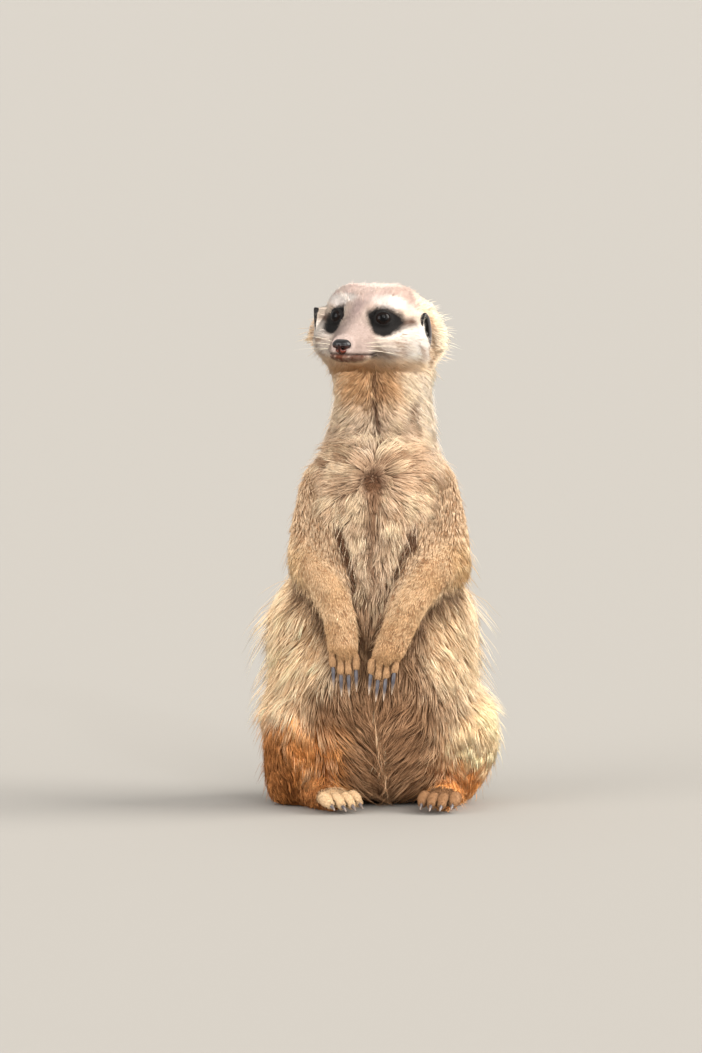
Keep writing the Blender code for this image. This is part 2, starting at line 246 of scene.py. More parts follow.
def paint(mesh, colours):
    """Stores a colour at each point, for the finish to read."""
    attribute = mesh.color_attributes.new("coat", "FLOAT_COLOR", "POINT")
    full = np.ones((len(colours), 4), dtype=np.float32)
    full[:, :3] = np.clip(colours, 0, 1)
    attribute.data.foreach_set("color", full.ravel())


# ================================================================ the head's axes
eye_centre = {side: centre_of(f"eye_{side}") for side in SIDES}
LEFTWARD = unit(eye_centre["left"] - eye_centre["right"])
between_eyes = (eye_centre["left"] + eye_centre["right"]) / 2
down_the_muzzle = unit(centre_of("nose") - between_eyes)
over_the_muzzle = unit(np.cross(down_the_muzzle, LEFTWARD))
AHEAD = down_the_muzzle * math.cos(NOSE_DROP) + over_the_muzzle * math.sin(NOSE_DROP)
UPWARD = np.cross(AHEAD, LEFTWARD)
HEAD_AXES = np.array((AHEAD, LEFTWARD, UPWARD))
HEAD_CENTRE = between_eyes - AHEAD * EYES_AHEAD - UPWARD * EYES_UP
EYE_SPREAD = float(np.linalg.norm(eye_centre["left"] - eye_centre["right"])) / 2


def to_head(points):
    """How far ahead, left and up of the head's centre points lie."""
    return (points - HEAD_CENTRE) @ HEAD_AXES.T


def from_head(points):
    return np.asarray(points) @ HEAD_AXES + HEAD_CENTRE


def node_on_head(node):
    return to_head(centre_of(node)[None])[0]


def eye_frame(side):
    """The eye's centre, the way it looks, outward and up, all in the head's axes."""
    sign = SIGN[side]
    turn, tilt = math.radians(EYE_TURN), math.radians(EYE_TILT)
    centre = np.array((EYES_AHEAD, sign * EYE_SPREAD, EYES_UP))
    axis = np.array((math.cos(turn) * math.cos(tilt), sign * math.sin(turn) * math.cos(tilt), math.sin(tilt)))
    outward = unit(np.array((-math.sin(turn), sign * math.cos(turn), 0)))
    upward = unit(np.cross(axis, outward) * sign)
    return centre, axis, outward, upward


# ================================================================ the skin
def grow_skin():
    """Joins the flesh nodes into one closed surface. The ears, eyes and nose fill their own pockets in it."""
    joined = bmesh.new()
    for node in FLESH + FEATURES:
        body = bmesh.new()
        body.from_mesh(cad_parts[node].data)
        bmesh.ops.remove_doubles(body, verts=body.verts, dist=1e-6)
        bmesh.ops.recalc_face_normals(body, faces=body.faces)
        for v in body.verts:
            v.co += v.normal * SEAM_CLOSING * MM
        mesh = bpy.data.meshes.new(node)
        body.to_mesh(mesh)
        body.free()
        joined.from_mesh(mesh)
        bpy.data.meshes.remove(mesh)
    mesh = bpy.data.meshes.new("skin")
    joined.to_mesh(mesh)
    joined.free()
    return modified(put("shape", mesh), "REMESH", mode="VOXEL", voxel_size=SKIN_VOXEL * MM)


def modified(shape, kind, **settings):
    """The mesh that a modifier makes of an object, which is then gone."""
    modifier = shape.modifiers.new(kind, kind)
    for key, value in settings.items():
        setattr(modifier, key, value)
    depsgraph = bpy.context.evaluated_depsgraph_get()
    mesh = bpy.data.meshes.new_from_object(shape.evaluated_get(depsgraph))
    bpy.data.objects.remove(shape)
    return mesh


class Surface:
    """A triangle mesh in arrays, with its neighbours, normals and smoothing."""

    def __init__(self, points, triangles):
        self.points = points
        self.triangles = triangles
        edges = np.vstack((triangles[:, :2], triangles[:, 1:], triangles[:, ::2]))
        edges = np.unique(np.sort(edges, axis=1), axis=0)
        self.a, self.b = edges.T
        self.neighbours = np.bincount(edges.ravel(), minlength=len(points)).clip(1)

    def averaged(self, values):
        """Each point's mean over its neighbours."""
        columns = []
        for column in np.asarray(values, float).reshape(len(self.points), -1).T:
            total = np.bincount(self.a, column[self.b], len(self.points))
            total += np.bincount(self.b, column[self.a], len(self.points))
            columns.append(total / self.neighbours)
        return np.array(columns).T.reshape(np.shape(values))

    def spread(self, values, passes):
        for _ in range(passes):
            values = (values + self.averaged(values)) / 2
        return values

    def face_normals(self):
        p, q, r = self.points[self.triangles.T]
        return np.cross(q - p, r - p)

    def normals(self):
        across = self.face_normals()
        total = np.zeros_like(self.points)
        for corner in range(3):
            for axis in range(3):
                total[:, axis] += np.bincount(self.triangles[:, corner], across[:, axis], len(self.points))
        return unit(total)

    def areas(self):
        return np.linalg.norm(self.face_normals(), axis=1) / 2


def nearest_nodes(points):
    """The number in FLESH of the node nearest to each point."""
    vertices, faces, owners = [], [], []
    offset = 0
    for number, node in enumerate(FLESH):
        p, f = read_mesh(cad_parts[node].data)
        vertices.append(p)
        faces.append(f + offset)
        owners.append(np.full(len(f), number))
        offset += len(p)
    tree = BVHTree.FromPolygons(np.vstack(vertices).tolist(), np.vstack(faces).tolist())
    owners = np.concatenate(owners)
    return np.array([owners[tree.find_nearest(p)[2]] for p in points.tolist()])


def refine(mesh, wanted):
    """Splits each face whose middle is wanted into four, on one mesh."""
    work = bmesh.new()
    work.from_mesh(mesh)
    middles = np.array([f.calc_center_median() for f in work.faces]) / MM
    chosen = wanted(middles)
    edges = {e for f, pick in zip(work.faces, chosen) if pick for e in f.edges}
    bmesh.ops.subdivide_edges(work, edges=list(edges), cuts=1, use_grid_fill=True)
    bmesh.ops.triangulate(work, faces=work.faces)
    work.to_mesh(mesh)
    work.free()


def near_face(points):
    ahead, _, up = to_head(points).T
    return (ahead > -8) & (ahead < 60) & (up > -24) & (np.linalg.norm(points - HEAD_CENTRE, axis=1) < 58)


def near_paws(points):
    chosen = np.zeros(len(points), bool)
    for side in SIDES:
        for limb in ("hand", "foot"):
            low, high = np.array(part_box(f"{limb}_{side}")) / MM
            chosen |= ((points > low - 1) & (points < high + 1)).all(axis=1)
    return chosen


def thin_out(mesh, nodes):
    """Fewer triangles where long hair hides the skin, away from the arms' edges."""
    points = read_mesh(mesh)[0]
    _, y, z = points.T
    at_edge = (np.abs(past_arm_edge(points)) < 5) & (y < -15) & (z > 100) & (z < 162)
    shape = put("shape", mesh)
    group = shape.vertex_groups.new(name="under_the_coat")
    hidden = [
        i for i, n in enumerate(nodes)
        if GROUPS_OF_FLESH[n] not in ("head", "hand", "foot", "forearm") and not at_edge[i]
    ]
    group.add(hidden, 1.0, "REPLACE")
    return modified(shape, "DECIMATE", ratio=BODY_KEPT, vertex_group=group.name)


def build_skin():
    mesh = grow_skin()
    mesh = thin_out(mesh, nearest_nodes(read_mesh(mesh)[0]))
    refine(mesh, lambda middles: near_face(middles) | near_paws(middles))
    points, triangles = read_mesh(mesh)
    return Surface(points, triangles)


def blended_weights(surface, nodes):
    """How far each point belongs to each group, softened over the joins."""
    one_hot = np.array([[GROUPS_OF_FLESH[n] == g for g in GROUPS] for n in range(len(FLESH))], float)
    return surface.spread(one_hot[nodes], 14)


def past_arm_edge(points):
    """How far a point lies out past the inner edges of the arms."""
    x, z = points[:, 0], points[:, 2]
    right = np.interp(z, ARM_EDGE_Z, ARM_EDGE_RIGHT) - x
    left = x - np.interp(z, ARM_EDGE_Z, ARM_EDGE_LEFT)
    return np.maximum(right, left)


def from_whorl(points):
    """How far points lie from the whorl on the chest, seen from the front."""
    return np.hypot(points[:, 0] - WHORL[0], points[:, 2] - WHORL[1])


def under_shoulders(points, normals):
    """The front of the trunk from the armpits to the elbows."""
    return ramp(points[:, 2], 104, 112) * ramp(points[:, 2], 168, 153) * ramp(normals[:, 1], 0.1, -0.3)


def widen_arms(points, normals, weights):
    """The arms' coat reaches in over the chest from the armpits to the elbows."""
    beyond = past_arm_edge(points)
    share = ramp(beyond, -0.3, 0.6) * ramp(beyond, 20, 15) * under_shoulders(points, normals)
    return move_weight(weights, ("chest", "belly"), "upper_arm", share)


def furry_heels(points, weights):
    """Only the toes and the front of the foot have the short coat of a foot."""
    from_toes = np.full(len(points), 99.0)
    for paw in ("foot_right", "foot_left"):
        for start, end in digit_lines(paw):
            from_toes = np.minimum(from_toes, distance_to_line(points, start, end)[0])
    return move_weight(weights, ("foot",), "shank", ramp(from_toes, 4.0, 7.5))


def move_weight(weights, sources, target, share):
    """Hands a share of some groups' weight over to another."""
    weights = weights.copy()
    for source in sources:
        moved = weights[:, GROUPS.index(source)] * share
        weights[:, GROUPS.index(source)] -= moved
        weights[:, GROUPS.index(target)] += moved
    return weights


def coat_weights(points, normals, raw):
    """The groups whose coat grows at each point: not quite those of the solids below."""
    return furry_heels(points, widen_arms(points, normals, raw))


def share_of(weights, *groups):
    """How far each point belongs to any of these groups."""
    return weights[:, [GROUPS.index(g) for g in groups]].sum(axis=1)


def by_group(weights, column):
    """One of the sizes in COATS at each point."""
    return weights @ np.array([COATS[g][column] for g in GROUPS])


# ---------------------------------------------------------------- fingers and toes
def claw_ends(node):
    """The middle of a claw's root and its tip."""
    points = read_mesh(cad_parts[node].data)[0]
    centre = points.mean(axis=0)
    limb = centre_of(node[5:-2])
    long_axis = np.linalg.svd(points - centre, full_matrices=False)[2][0]
    if (centre - limb) @ long_axis < 0:
        long_axis = -long_axis
    along = (points - centre) @ long_axis
    root = points[along < along.min() + 0.6].mean(axis=0)
    tip = points[np.argmax(along)]
    return root, tip


def digit_lines(paw):
    """For each of a paw's four digits: where it leaves the palm, and where its claw starts."""
    kind = paw.split("_")[0]
    point = unit(DIGITS_POINT[paw])
    lines = []
    for number in range(1, 5):
        end = claw_ends(f"claw_{paw}_{number}")[0] + point * 0.6
        arch = 2.6 if kind == "foot" else 0.0
        lines.append((end - point * DIGIT_LENGTH[kind] + np.array((0, 0, arch)), end))
    return lines


def distance_to_line(points, start, end):
    along = end - start
    t = np.clip(((points - start) @ along) / (along @ along), 0, 1)
    nearest = start + t[:, None] * along
    return np.linalg.norm(points - nearest, axis=1), nearest, t


def shape_digits(surface):
    """Rounds the fingers and toes. Gives the depth of the grooves, and how far each point is on a digit."""
    depth = np.zeros(len(surface.points))
    on_digit = np.zeros(len(surface.points))
    for paw in DIGITS_POINT:
        kind = paw.split("_")[0]
        radius = DIGIT_RADIUS[kind]
        lines = digit_lines(paw)
        measured = [distance_to_line(surface.points, start, end) for start, end in lines]
        distances = np.array([m[0] for m in measured])
        order = np.argsort(distances, axis=0)
        rows = np.arange(len(surface.points))
        closest, second = distances[order[0], rows], distances[order[1], rows]
        centres = np.array([m[1] for m in measured])[order[0], rows]
        along = np.array([m[2] for m in measured])[order[0], rows]
        inside = ramp(along, 0.02, 0.4) * (closest < radius * 2.0)
        knuckle = 1 + 0.10 * bump(along, 0.62, 0.10) + 0.06 * bump(along, 0.28, 0.10)
        knuckle -= 0.25 * ramp(along, 0.75, 1.0)
        rounded = centres + unit(surface.points - centres) * (radius * knuckle)[:, None]
        surface.points = mix(surface.points, rounded, inside)
        groove = bump(second - closest, 0, 0.75) * ramp(along, -0.02, 0.2) * (closest < radius * 2.2)
        depth = np.maximum(depth, groove)
        on_this = ramp(along, 0.0, 0.3) * (1 - 0.5 * (along > 0.97)) * (closest < radius * 2.0)
        on_digit = np.maximum(on_digit, on_this)
    surface.points = surface.points - surface.normals() * (0.9 * depth)[:, None]
    return depth, on_digit


# ---------------------------------------------------------------- face
def lid_measure(way, axis, outward, upward):
    """How far a direction from the eye's centre lies from the way it looks: 1 on the edge of the lids."""
    off_axis = np.degrees(np.arccos((way @ axis).clip(-1, 1)))
    across, rise = way @ outward, way @ upward
    reach = np.maximum(np.hypot(across, rise), 1e-6)
    return np.hypot(off_axis * across / reach / EYE_OPENING[0], off_axis * rise / reach / EYE_OPENING[1])


def ear_middle(side):
    return node_on_head(f"ear_{side}") + EAR_SHIFT[side]


def ear_measure(local, side):
    """How far out a point lies from the middle of an ear, 1 on its rim, and how far ahead of the middle."""
    away = local - ear_middle(side)
    lean = math.radians(EAR_LEAN)
    a = away[:, 0] * math.cos(lean) - away[:, 2] * math.sin(lean)
    u = away[:, 2] * math.cos(lean) + away[:, 0] * math.sin(lean)
    q = np.hypot(a / EAR_HALF[0], u / EAR_HALF[1])
    return np.where(np.abs(away[:, 1]) < 9, q, 9.0), a


def mouth_line(ahead):
    """The height of the line between the lips."""
    return MOUTH_UP + 0.35 * ramp(ahead, 26, 40) + 0.8 * ramp(ahead, 26, 20)


def shape_face(surface, normals):
    """Sinks the eyes in their sockets behind lids, and cuts the mouth."""
    local = to_head(surface.points)
    ahead, left, up = local.T
    aside = np.abs(left)

    # The mouth: a crease from under the nose to the corner, with a soft lip above and below
    line = mouth_line(ahead)
    on_muzzle = ramp(ahead, MOUTH_CORNER_AHEAD - 3, MOUTH_CORNER_AHEAD + 2) * (up < -8)
    push = -1.15 * bump(up, line, 0.55) + 0.35 * bump(up, line + 1.6, 1.1) + 0.30 * bump(up, line - 1.7, 1.0)
    # The groove under the nose, and the pads that carry the whiskers
    push = push * on_muzzle
    push -= 0.6 * bump(left, 0, 0.7) * ramp(ahead, 36, 39) * (up < -9) * (up > line)
    push += 0.8 * bump(ahead, 30, 5.5) * bump(aside, 7.5, 3.5) * bump(up, -9.5, 2.6)
    # The bridge stands up between the hollows in front of the eyes
    push -= 0.7 * bump(ahead, 24, 5) * bump(aside, 6.5, 3) * bump(up, -2, 4)
    push -= 1.1 * bump(ahead, 20, 4) * bump(aside, 7.5, 2.2) * bump(up, 2, 5)
    push += 0.5 * bump(left, 0, 3.0) * bump(ahead, 20, 7) * bump(up, 3, 7)
    # The valley along the middle of the crown
    push -= 0.6 * bump(left, 0, 3.0) * ramp(up, 14, 20)
    # The brows stand out above and behind the eyes
    push += 1.0 * bump(ahead, 9, 7) * bump(aside, 19, 5) * bump(up, 13, 5)
    surface.points = surface.points + normals * (push * (ahead > -20))[:, None]

    local = to_head(surface.points)
    for side in SIDES:
        centre, axis, outward, upward = eye_frame(side)
        away = local - centre
        radius = np.linalg.norm(away, axis=1)
        way = away / np.maximum(radius, 1e-6)[:, None]
        q = lid_measure(way, axis, outward, upward)
        lid = EYE_RADIUS + LID_THICKNESS + 0.08 * bump(q, 1.15, 0.10)
        sunk = EYE_RADIUS - 1.2
        wanted = sunk + (lid - sunk) * ramp(q, 0.97, 1.07)
        hold = 1 - ramp(q, 1.25, 1.95)
        new_radius = radius * (1 - hold) + wanted * hold
        close = radius < EYE_RADIUS * 2.2
        local = np.where((close & (q < 1.95))[:, None], centre + way * new_radius[:, None], local)
    # The ear's bowl sinks into the side of the head
    for side in SIDES:
        middle = ear_middle(side)[1]
        q = ear_measure(local, side)[0]
        level = EAR_LEVEL - 3.6 * ramp(q, 1.0, 0.7)
        beside = ramp(q, 1.25, 0.95)
        local[:, 1] = local[:, 1] * (1 - beside) + (middle + np.sign(middle) * level) * beside
    # The muzzle's end lies under the nose leather
    nose = node_on_head("nose")
    away = local - nose
    q = np.linalg.norm(away / np.array((4.0, 4.8, 4.0)), axis=1)
    local = nose + away * (1 - 0.28 * ramp(q, 1.45, 1.1))[:, None]
    surface.points = from_head(local)


# ---------------------------------------------------------------- the lie of the coat
def below_elbows(points):
    """The flanks just below the elbows, where the coat is thin, 0 to 1."""
    return bump(points[:, 2], 110, 14) * ramp(np.abs(points[:, 0]), 28, 42)


def lie_of_coat(points, normals, weights):
    """The way the hair runs at each point of the skin, along the surface."""
    x, _, z = points.T
    weight = dict(zip(GROUPS, weights.T))
    count = len(points)
    sign = np.where(x > -2.5, 1.0, -1.0)
    front = ramp(normals[:, 1], 0.15, -0.45)

    def flow(a, b, c):
        return np.stack(np.broadcast_arrays(a * np.ones(count), b, c), axis=1)

    # Trunk: down everywhere, outward over the flanks
    flank = ramp(z, 66, 84) * ramp(z, 150, 130)
    trunk = flow((0.30 + 0.55 * flank) * sign * ramp(np.abs(x), 5, 36), 0.12, -1.0)
    # Chest: outward from the whorl, up above it and like a skirt below it
    dx, dz = x - WHORL[0], z - WHORL[1]
    spread = np.clip(dx / 9, -1, 1)
    above = flow(1.3 * spread, 0.0, 0.1 + 0.6 * bump(dz, 9, 9))
    below = flow(0.9 * spread * ramp(dz, -34, -3), 0.0, -1.0)
    out_down = flow(0.75 * sign, 0.1, -1.0)
    radial = mix(below, above, ramp(dz, -4, 4))
    radial = mix(radial, out_down, ramp(np.abs(dx), 15, 30))
    chest_zone = front * ramp(z, 132, 150) * ramp(z, 206, 194)
    trunk = mix(trunk, radial, chest_zone)
    throat = flow(0.9 * np.clip((x + 3) / 8, -1, 1), 0.0, -0.75)
    trunk = mix(trunk, throat, front * ramp(z, 196, 208))
    # Between the arms the hair runs straight down
    panel = front * ramp(past_arm_edge(points), 1, -3) * ramp(z, 160, 146) * ramp(z, 84, 96)
    trunk = mix(trunk, flow(0.10 * spread, 0.0, -1.0), panel)
    # Belly: both sides run in and down to the seam
    seam = np.interp(z, SEAM_Z, SEAM_X)
    inward = flow(-0.85 * np.clip((x - seam) / 9, -1, 1), -0.1, -0.75)
    belly_zone = front * ramp(z, 74, 56) * ramp(np.abs(x - seam), 34, 22)
    trunk = mix(trunk, inward, belly_zone)

    total = trunk * (weight["neck"] + weight["chest"] + weight["belly"])[:, None]

    # Limbs and tail: along the limb to its end
    for node, (start, end) in LIMB_LINES.items():
        mine = (sign < 0) == node.endswith("right")
        total += unit(end - start) * (weight[GROUP_OF_NODE[node]] * mine)[:, None]
    thigh = flow(0.25 * sign, -0.25, -1.0)
    total += thigh * weight["thigh"][:, None]
    fluff = elbow_fluff(points, weight["upper_arm"] + weight["forearm"])
    return mix(total, flow(0.9 * sign, 0.35, -1.0), fluff)


def elbow_fluff(points, on_arm):
    """The golden fluff that hangs from the elbows, 0 to 1."""
    x, _, z = points.T
    return np.clip(on_arm, 0, 1) * ramp(np.abs(x + 1), 36, 45) * bump(z, 126, 17)


def along_tail(points):
    """The tail's own way at each point, from the middles of its three nodes and its end."""
    stops = [centre_of("tail_base"), centre_of("tail_middle"), centre_of("tail_tip")]
    stops.append(np.array((stops[2][0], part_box("tail_tip")[1][1] / MM, stops[2][2])))
    ways = unit(np.diff(np.array(stops), axis=0))
    y = points[:, 1]
    knots = [(stops[i][1] + stops[i + 1][1]) / 2 for i in range(3)]
    return unit(np.stack([np.interp(y, knots, ways[:, k]) for k in range(3)], axis=1))


def lie_on_head(local):
    """The way the hair runs on the head, in the head's axes: back from the nose, fanning over the cheeks."""
    ahead, left, up = local.T
    out = np.stack((np.zeros(len(local)), left, up + 4), axis=1)
    fan = unit(out) * ramp(ahead, -26, 26)[:, None] * 0.75
    back = np.array((-1.0, 0, 0))
    cheek = ramp(np.abs(left), 10, 20) * ramp(up, 4, -8)
    way = back + fan + np.stack((cheek * 0, np.sign(left) * cheek * 0.5, -cheek * 0.35), axis=1)
    under = ramp(up, -12, -18)
    return way + np.stack((under * 0, under * np.sign(left) * 0.3, -under * 0.3), axis=1)


# The start and end of a line along each limb
LIMB_LINES = {}
for side in SIDES:
    shoulder = centre_of(f"upper_arm_{side}") + np.array((0, 8, 18))
    elbow = (centre_of(f"upper_arm_{side}") + centre_of(f"forearm_{side}")) / 2
    wrist = (centre_of(f"forearm_{side}") * 0.35 + centre_of(f"hand_{side}") * 0.65)
    LIMB_LINES[f"upper_arm_{side}"] = (shoulder, elbow)
    LIMB_LINES[f"forearm_{side}"] = (elbow, wrist)
    for paw in (f"hand_{side}", f"foot_{side}"):
        LIMB_LINES[paw] = (np.zeros(3), np.array(DIGITS_POINT[paw]))
    LIMB_LINES[f"shank_{side}"] = (np.zeros(3), np.array((0.1, -0.25, -1.0)))

# ---------------------------------------------------------------- colours of the coat
CREAM = rgb(242, 214, 182)
PALE = rgb(252, 224, 186)
PALE_LOCK = rgb(255, 235, 200)
WARM = rgb(222, 178, 132)
TAN = rgb(234, 198, 154)
BROWN = rgb(126, 86, 56)
DARK_BROWN = rgb(104, 72, 48)
BELLY = rgb(184, 146, 112)
RUST = rgb(252, 174, 98)
RUST_DEEP = rgb(192, 118, 60)
CROWN = rgb(243, 220, 210)
WHITE = rgb(252, 246, 239)
MUZZLE = rgb(176, 158, 149)
BLACK = rgb(14, 9, 7)
GREY_TAN = rgb(186, 162, 132)
# Painted shade in the grooves between the fingers and toes
PAINTED_SHADE_BETWEEN_DIGITS = rgb(40, 27, 20)


class Tints:
    """Root and tip colours at many points, laid one over another."""

    def __init__(self, count, tip, root):
        self.tip = np.tile(tip, (count, 1))
        self.root = np.tile(root, (count, 1))

    def lay(self, tip, root, share):
        share = np.clip(share, 0, 1)
        self.tip = mix(self.tip, tip, share)
        self.root = mix(self.root, root, share)


def facing_front(normals):
    return ramp(normals[:, 1], 0.35, -0.35)


def colours_of_body(points, normals, weights):
    """Root and tip colours at each point of the skin, where it belongs to anything but the head."""
    weight = dict(zip(GROUPS, weights.T))
    mottle = wavy(points, 26, 1)
    streak = wavy(points * np.array((1, 1, 0.22)), 6, 21)
    tints = Tints(len(points), CREAM, BROWN)
    tint_trunk(tints.lay, points, normals, mottle, streak)
    tint_arms(tints.lay, points, normals, weight, mottle)
    tint_legs(tints.lay, points, normals, weight, mottle, streak)
    # The tail is tan, with a black tip
    tints.lay(rgb(214, 176, 130), rgb(150, 108, 70), weight["tail"])
    tints.lay(rgb(52, 34, 24), rgb(30, 19, 13), weight["tail"] * ramp(points[:, 1], 168, 190))
    return tints.root, tints.tip


def tint_trunk(tint, points, normals, mottle, streak):
    """The throat, chest, belly, flanks and back, and the sides of the neck."""
    x, _, z = points.T
    front = facing_front(normals)
    back = ramp(normals[:, 1], 0.0, 0.6)
    # Streaks down the coat
    tint(rgb(214, 176, 138), rgb(112, 74, 48), ramp(streak, 0.15, 0.75) * 0.75)
    # Flanks, pale with tan roots, and paler still out on the left flank: painted light on the side the rim
    # lamp lights
    flank = ramp(z, 158, 135) * ramp(np.abs(x), 14, 34)
    pale = mix(PALE, rgb(255, 236, 206), ramp(x, 30, 48))
    tint(mix(pale, rgb(240, 198, 150), 0.4 * ramp(streak, 0.1, 0.8)), rgb(236, 194, 148), flank)
    # Throat, warm in the middle and cream at the sides
    neck_middle = np.interp(z, (200, 236), (-2.5, -6.0))
    tint(rgb(250, 232, 206), rgb(206, 170, 134), front * ramp(z, 200, 212))
    tint(WARM, rgb(186, 136, 94), front * ramp(z, 206, 226) * ramp(np.abs(x - neck_middle), 18, 8))
    tint(rgb(232, 208, 182), rgb(176, 142, 112), front * bump(z, 206, 11) * 0.8)
    upper_chest = front * bump(z, 184, 17) * ramp(np.abs(x), 44, 30)
    tint(rgb(202, 168, 136), rgb(126, 90, 64), upper_chest * 0.85)
    # A pale ridge between the throat and the whorl
    ridge = front * bump(x, -3.0, 2.2) * ramp(z, 181, 186) * ramp(z, 204, 198)
    tint(rgb(252, 234, 208), rgb(196, 158, 124), ridge * 0.7)
    # Between the arms, and the belly below the hands
    middle = ramp(np.abs(x + 1), 30, 16) * front
    tint(rgb(228, 202, 172), rgb(172, 132, 98), middle * ramp(z, 168, 150) * ramp(z, 112, 126))
    tint(BELLY, DARK_BROWN, middle * ramp(z, 128, 100))
    tint(rgb(178, 136, 100), rgb(112, 78, 52), front * ramp(z, 80, 62) * ramp(np.abs(x - 2), 44, 30))
    seam = np.interp(z, SEAM_Z, SEAM_X)
    tint(rgb(236, 200, 160), rgb(206, 160, 116), front * bump(x, seam, 1.3) * ramp(z, 64, 58))
    lap = front * ramp(x, 24, 42) * ramp(z, 26, 44) * ramp(z, 110, 86)
    tint(rgb(252, 228, 194), rgb(192, 150, 110), lap * 0.85)
    # Dark whorl and parting
    tint(rgb(112, 78, 56), rgb(62, 40, 26), front * ramp(from_whorl(points), 6, 1.5))
    parting = front * bump(x, -3.2, 2.8) * ramp(z, 112, 128) * ramp(z, 178, 172)
    tint(rgb(140, 100, 70), rgb(92, 60, 38), parting * 0.75)
    # Painted shade: a dark line in the crease down the throat, softer shade beside it, and shade in the fold
    # at the side of the neck
    crease = np.interp(z, (207, 232), (-0.8, -2.6))
    painted_shade_beside_crease = front * bump(x, crease + 2.4, 2.0) * ramp(z, 206, 212)
    tint(rgb(156, 112, 78), rgb(112, 76, 48), painted_shade_beside_crease * 0.4)
    tint(rgb(104, 68, 44), rgb(64, 38, 22), front * bump(x, crease, 0.9) * ramp(z, 200, 208) * 0.9)
    fold = np.interp(z, (203, 210, 219, 230), (9.0, 12.0, 15.0, 22.0))
    tint(rgb(132, 94, 66), rgb(84, 56, 38), front * bump(x, fold, 2.4) * bump(z, 217, 11) * 0.95)
    # The sides of the neck, cream
    side_of_neck = ramp(z, 176, 212) * ramp(np.abs(x - neck_middle), 17, 25) * ramp(normals[:, 1], 0.6, 0.0)
    tint(rgb(252, 238, 220), rgb(216, 186, 158), side_of_neck)
    # Back: greyish tan with darker bands across
    tint(GREY_TAN, rgb(100, 76, 54), back * ramp(z, 20, 50))
    band = 0.5 + 0.5 * np.sin(2 * math.pi * z / BAR_SPACING + 1.3 * mottle + 0.03 * np.abs(x))
    banded = back * ramp(z, 26, 46) * ramp(z, 190, 165) * (0.75 + 0.35 * wavy(points, 15, 23))
    tint(rgb(124, 94, 68), rgb(74, 52, 36), banded * ramp(band, 0.5, 0.95) * 0.8)


def tint_arms(tint, points, normals, weight, mottle):
    """The arms, with short dark ripples across, and painted shade in the crease where they lie on the trunk.
    """
    z = points[:, 2]
    arms = weight["upper_arm"] + weight["forearm"] + weight["hand"]
    arm_tip = mix(TAN, rgb(248, 218, 178), 0.5 + 0.5 * mottle)
    golden = elbow_fluff(points, arms)
    lower_arm = weight["forearm"] + weight["hand"]
    tint(arm_tip, rgb(190, 146, 104), lower_arm)
    tint(rgb(242, 212, 176), rgb(168, 126, 90), weight["upper_arm"] * 0.9)
    tint(rgb(226, 188, 142), rgb(184, 140, 98), weight["hand"])
    tint(rgb(255, 220, 166), rgb(214, 164, 108), golden * 0.85)
    tint(rgb(216, 170, 122), rgb(168, 124, 84), lower_arm * ramp(z, 108, 88) * 0.5)
    ripple = arm_ripples(points)
    tint(rgb(178, 128, 84), rgb(122, 82, 52), (arms - weight["hand"]) * ripple * 0.75)
    # Painted shade along the arms' edges and under the shoulders, where they lie on the trunk
    arm_shadow = facing_front(normals) * bump(arms, 0.40, 0.22) * ramp(z, 163, 152)
    under_edge = 1.2 * bump(past_arm_edge(points), -0.7, 1.5) * under_shoulders(points, normals)
    arm_shadow = np.maximum(arm_shadow, under_edge * ramp(z, 157, 152))
    tint(rgb(106, 72, 48), rgb(58, 36, 24), arm_shadow * 0.9)


def tint_legs(tint, points, normals, weight, mottle, streak):
    """The legs: cream over the hip, rust down the front and dark at the outer back, and paler on the left."""
    x, y, z = points.T
    leg = np.clip(weight["thigh"] * 1.2 + weight["shank"], 0, 1)
    leg = np.maximum(leg, facing_front(normals) * ramp(x, -19, -26) * ramp(z, 58, 42) * 0.9)
    uneven = wavy(points, 13, 22)
    leg *= 1 - 0.85 * ramp(y + 9 * uneven, -4, 30) * ramp(z, 2, 14)
    right = (x < 0) * 1.0
    hip = ramp(z + 6 * uneven + 9 * streak, 44, 70)
    tint(mix(RUST, rgb(246, 178, 112), 0.4 + 0.4 * mottle), RUST_DEEP, leg * (1 - hip))
    tint(rgb(240, 208, 170), rgb(170, 120, 78), leg * hip * right)
    outer = ramp(x, -42, -54) * ramp(z, 64, 40) + ramp(z, 26, 10) * right
    tint(rgb(146, 84, 42), rgb(82, 42, 18), leg * right * np.clip(outer, 0, 1) * 0.65)
    # The left knee is cream, and paler still as painted light where the rim lamp falls
    pale_knee_and_painted_light = (1 - right) * ramp(z + 4 * uneven, 18, 36)
    tint(rgb(255, 232, 190), rgb(244, 204, 154), leg * pale_knee_and_painted_light)
    inner = (1 - right) * ramp(x, 38, 28) * ramp(z, 14, 24)
    tint(rgb(196, 160, 130), rgb(122, 86, 60), leg * inner * 0.8)
    tint(rgb(228, 198, 158), rgb(188, 152, 112), weight["foot"])
    # Painted shade: the left foot darker
    tint(rgb(152, 104, 64), rgb(112, 74, 44), weight["foot"] * (1 - right) * 0.85)


def arm_ripples(points):
    """Dark wavy ripples across the arms, 0 to 1."""
    across = points @ unit((0.25, 0, 1.0)) + 1.1 * wavy(points, 9, 11) + 0.6 * wavy(points, 4, 12)
    waves = 0.5 + 0.5 * np.sin(2 * math.pi * across / RIPPLE_SPACING)
    return ramp(waves, 0.45, 0.95) * ramp(wavy(points, 7, 13), -0.5, 0.5)


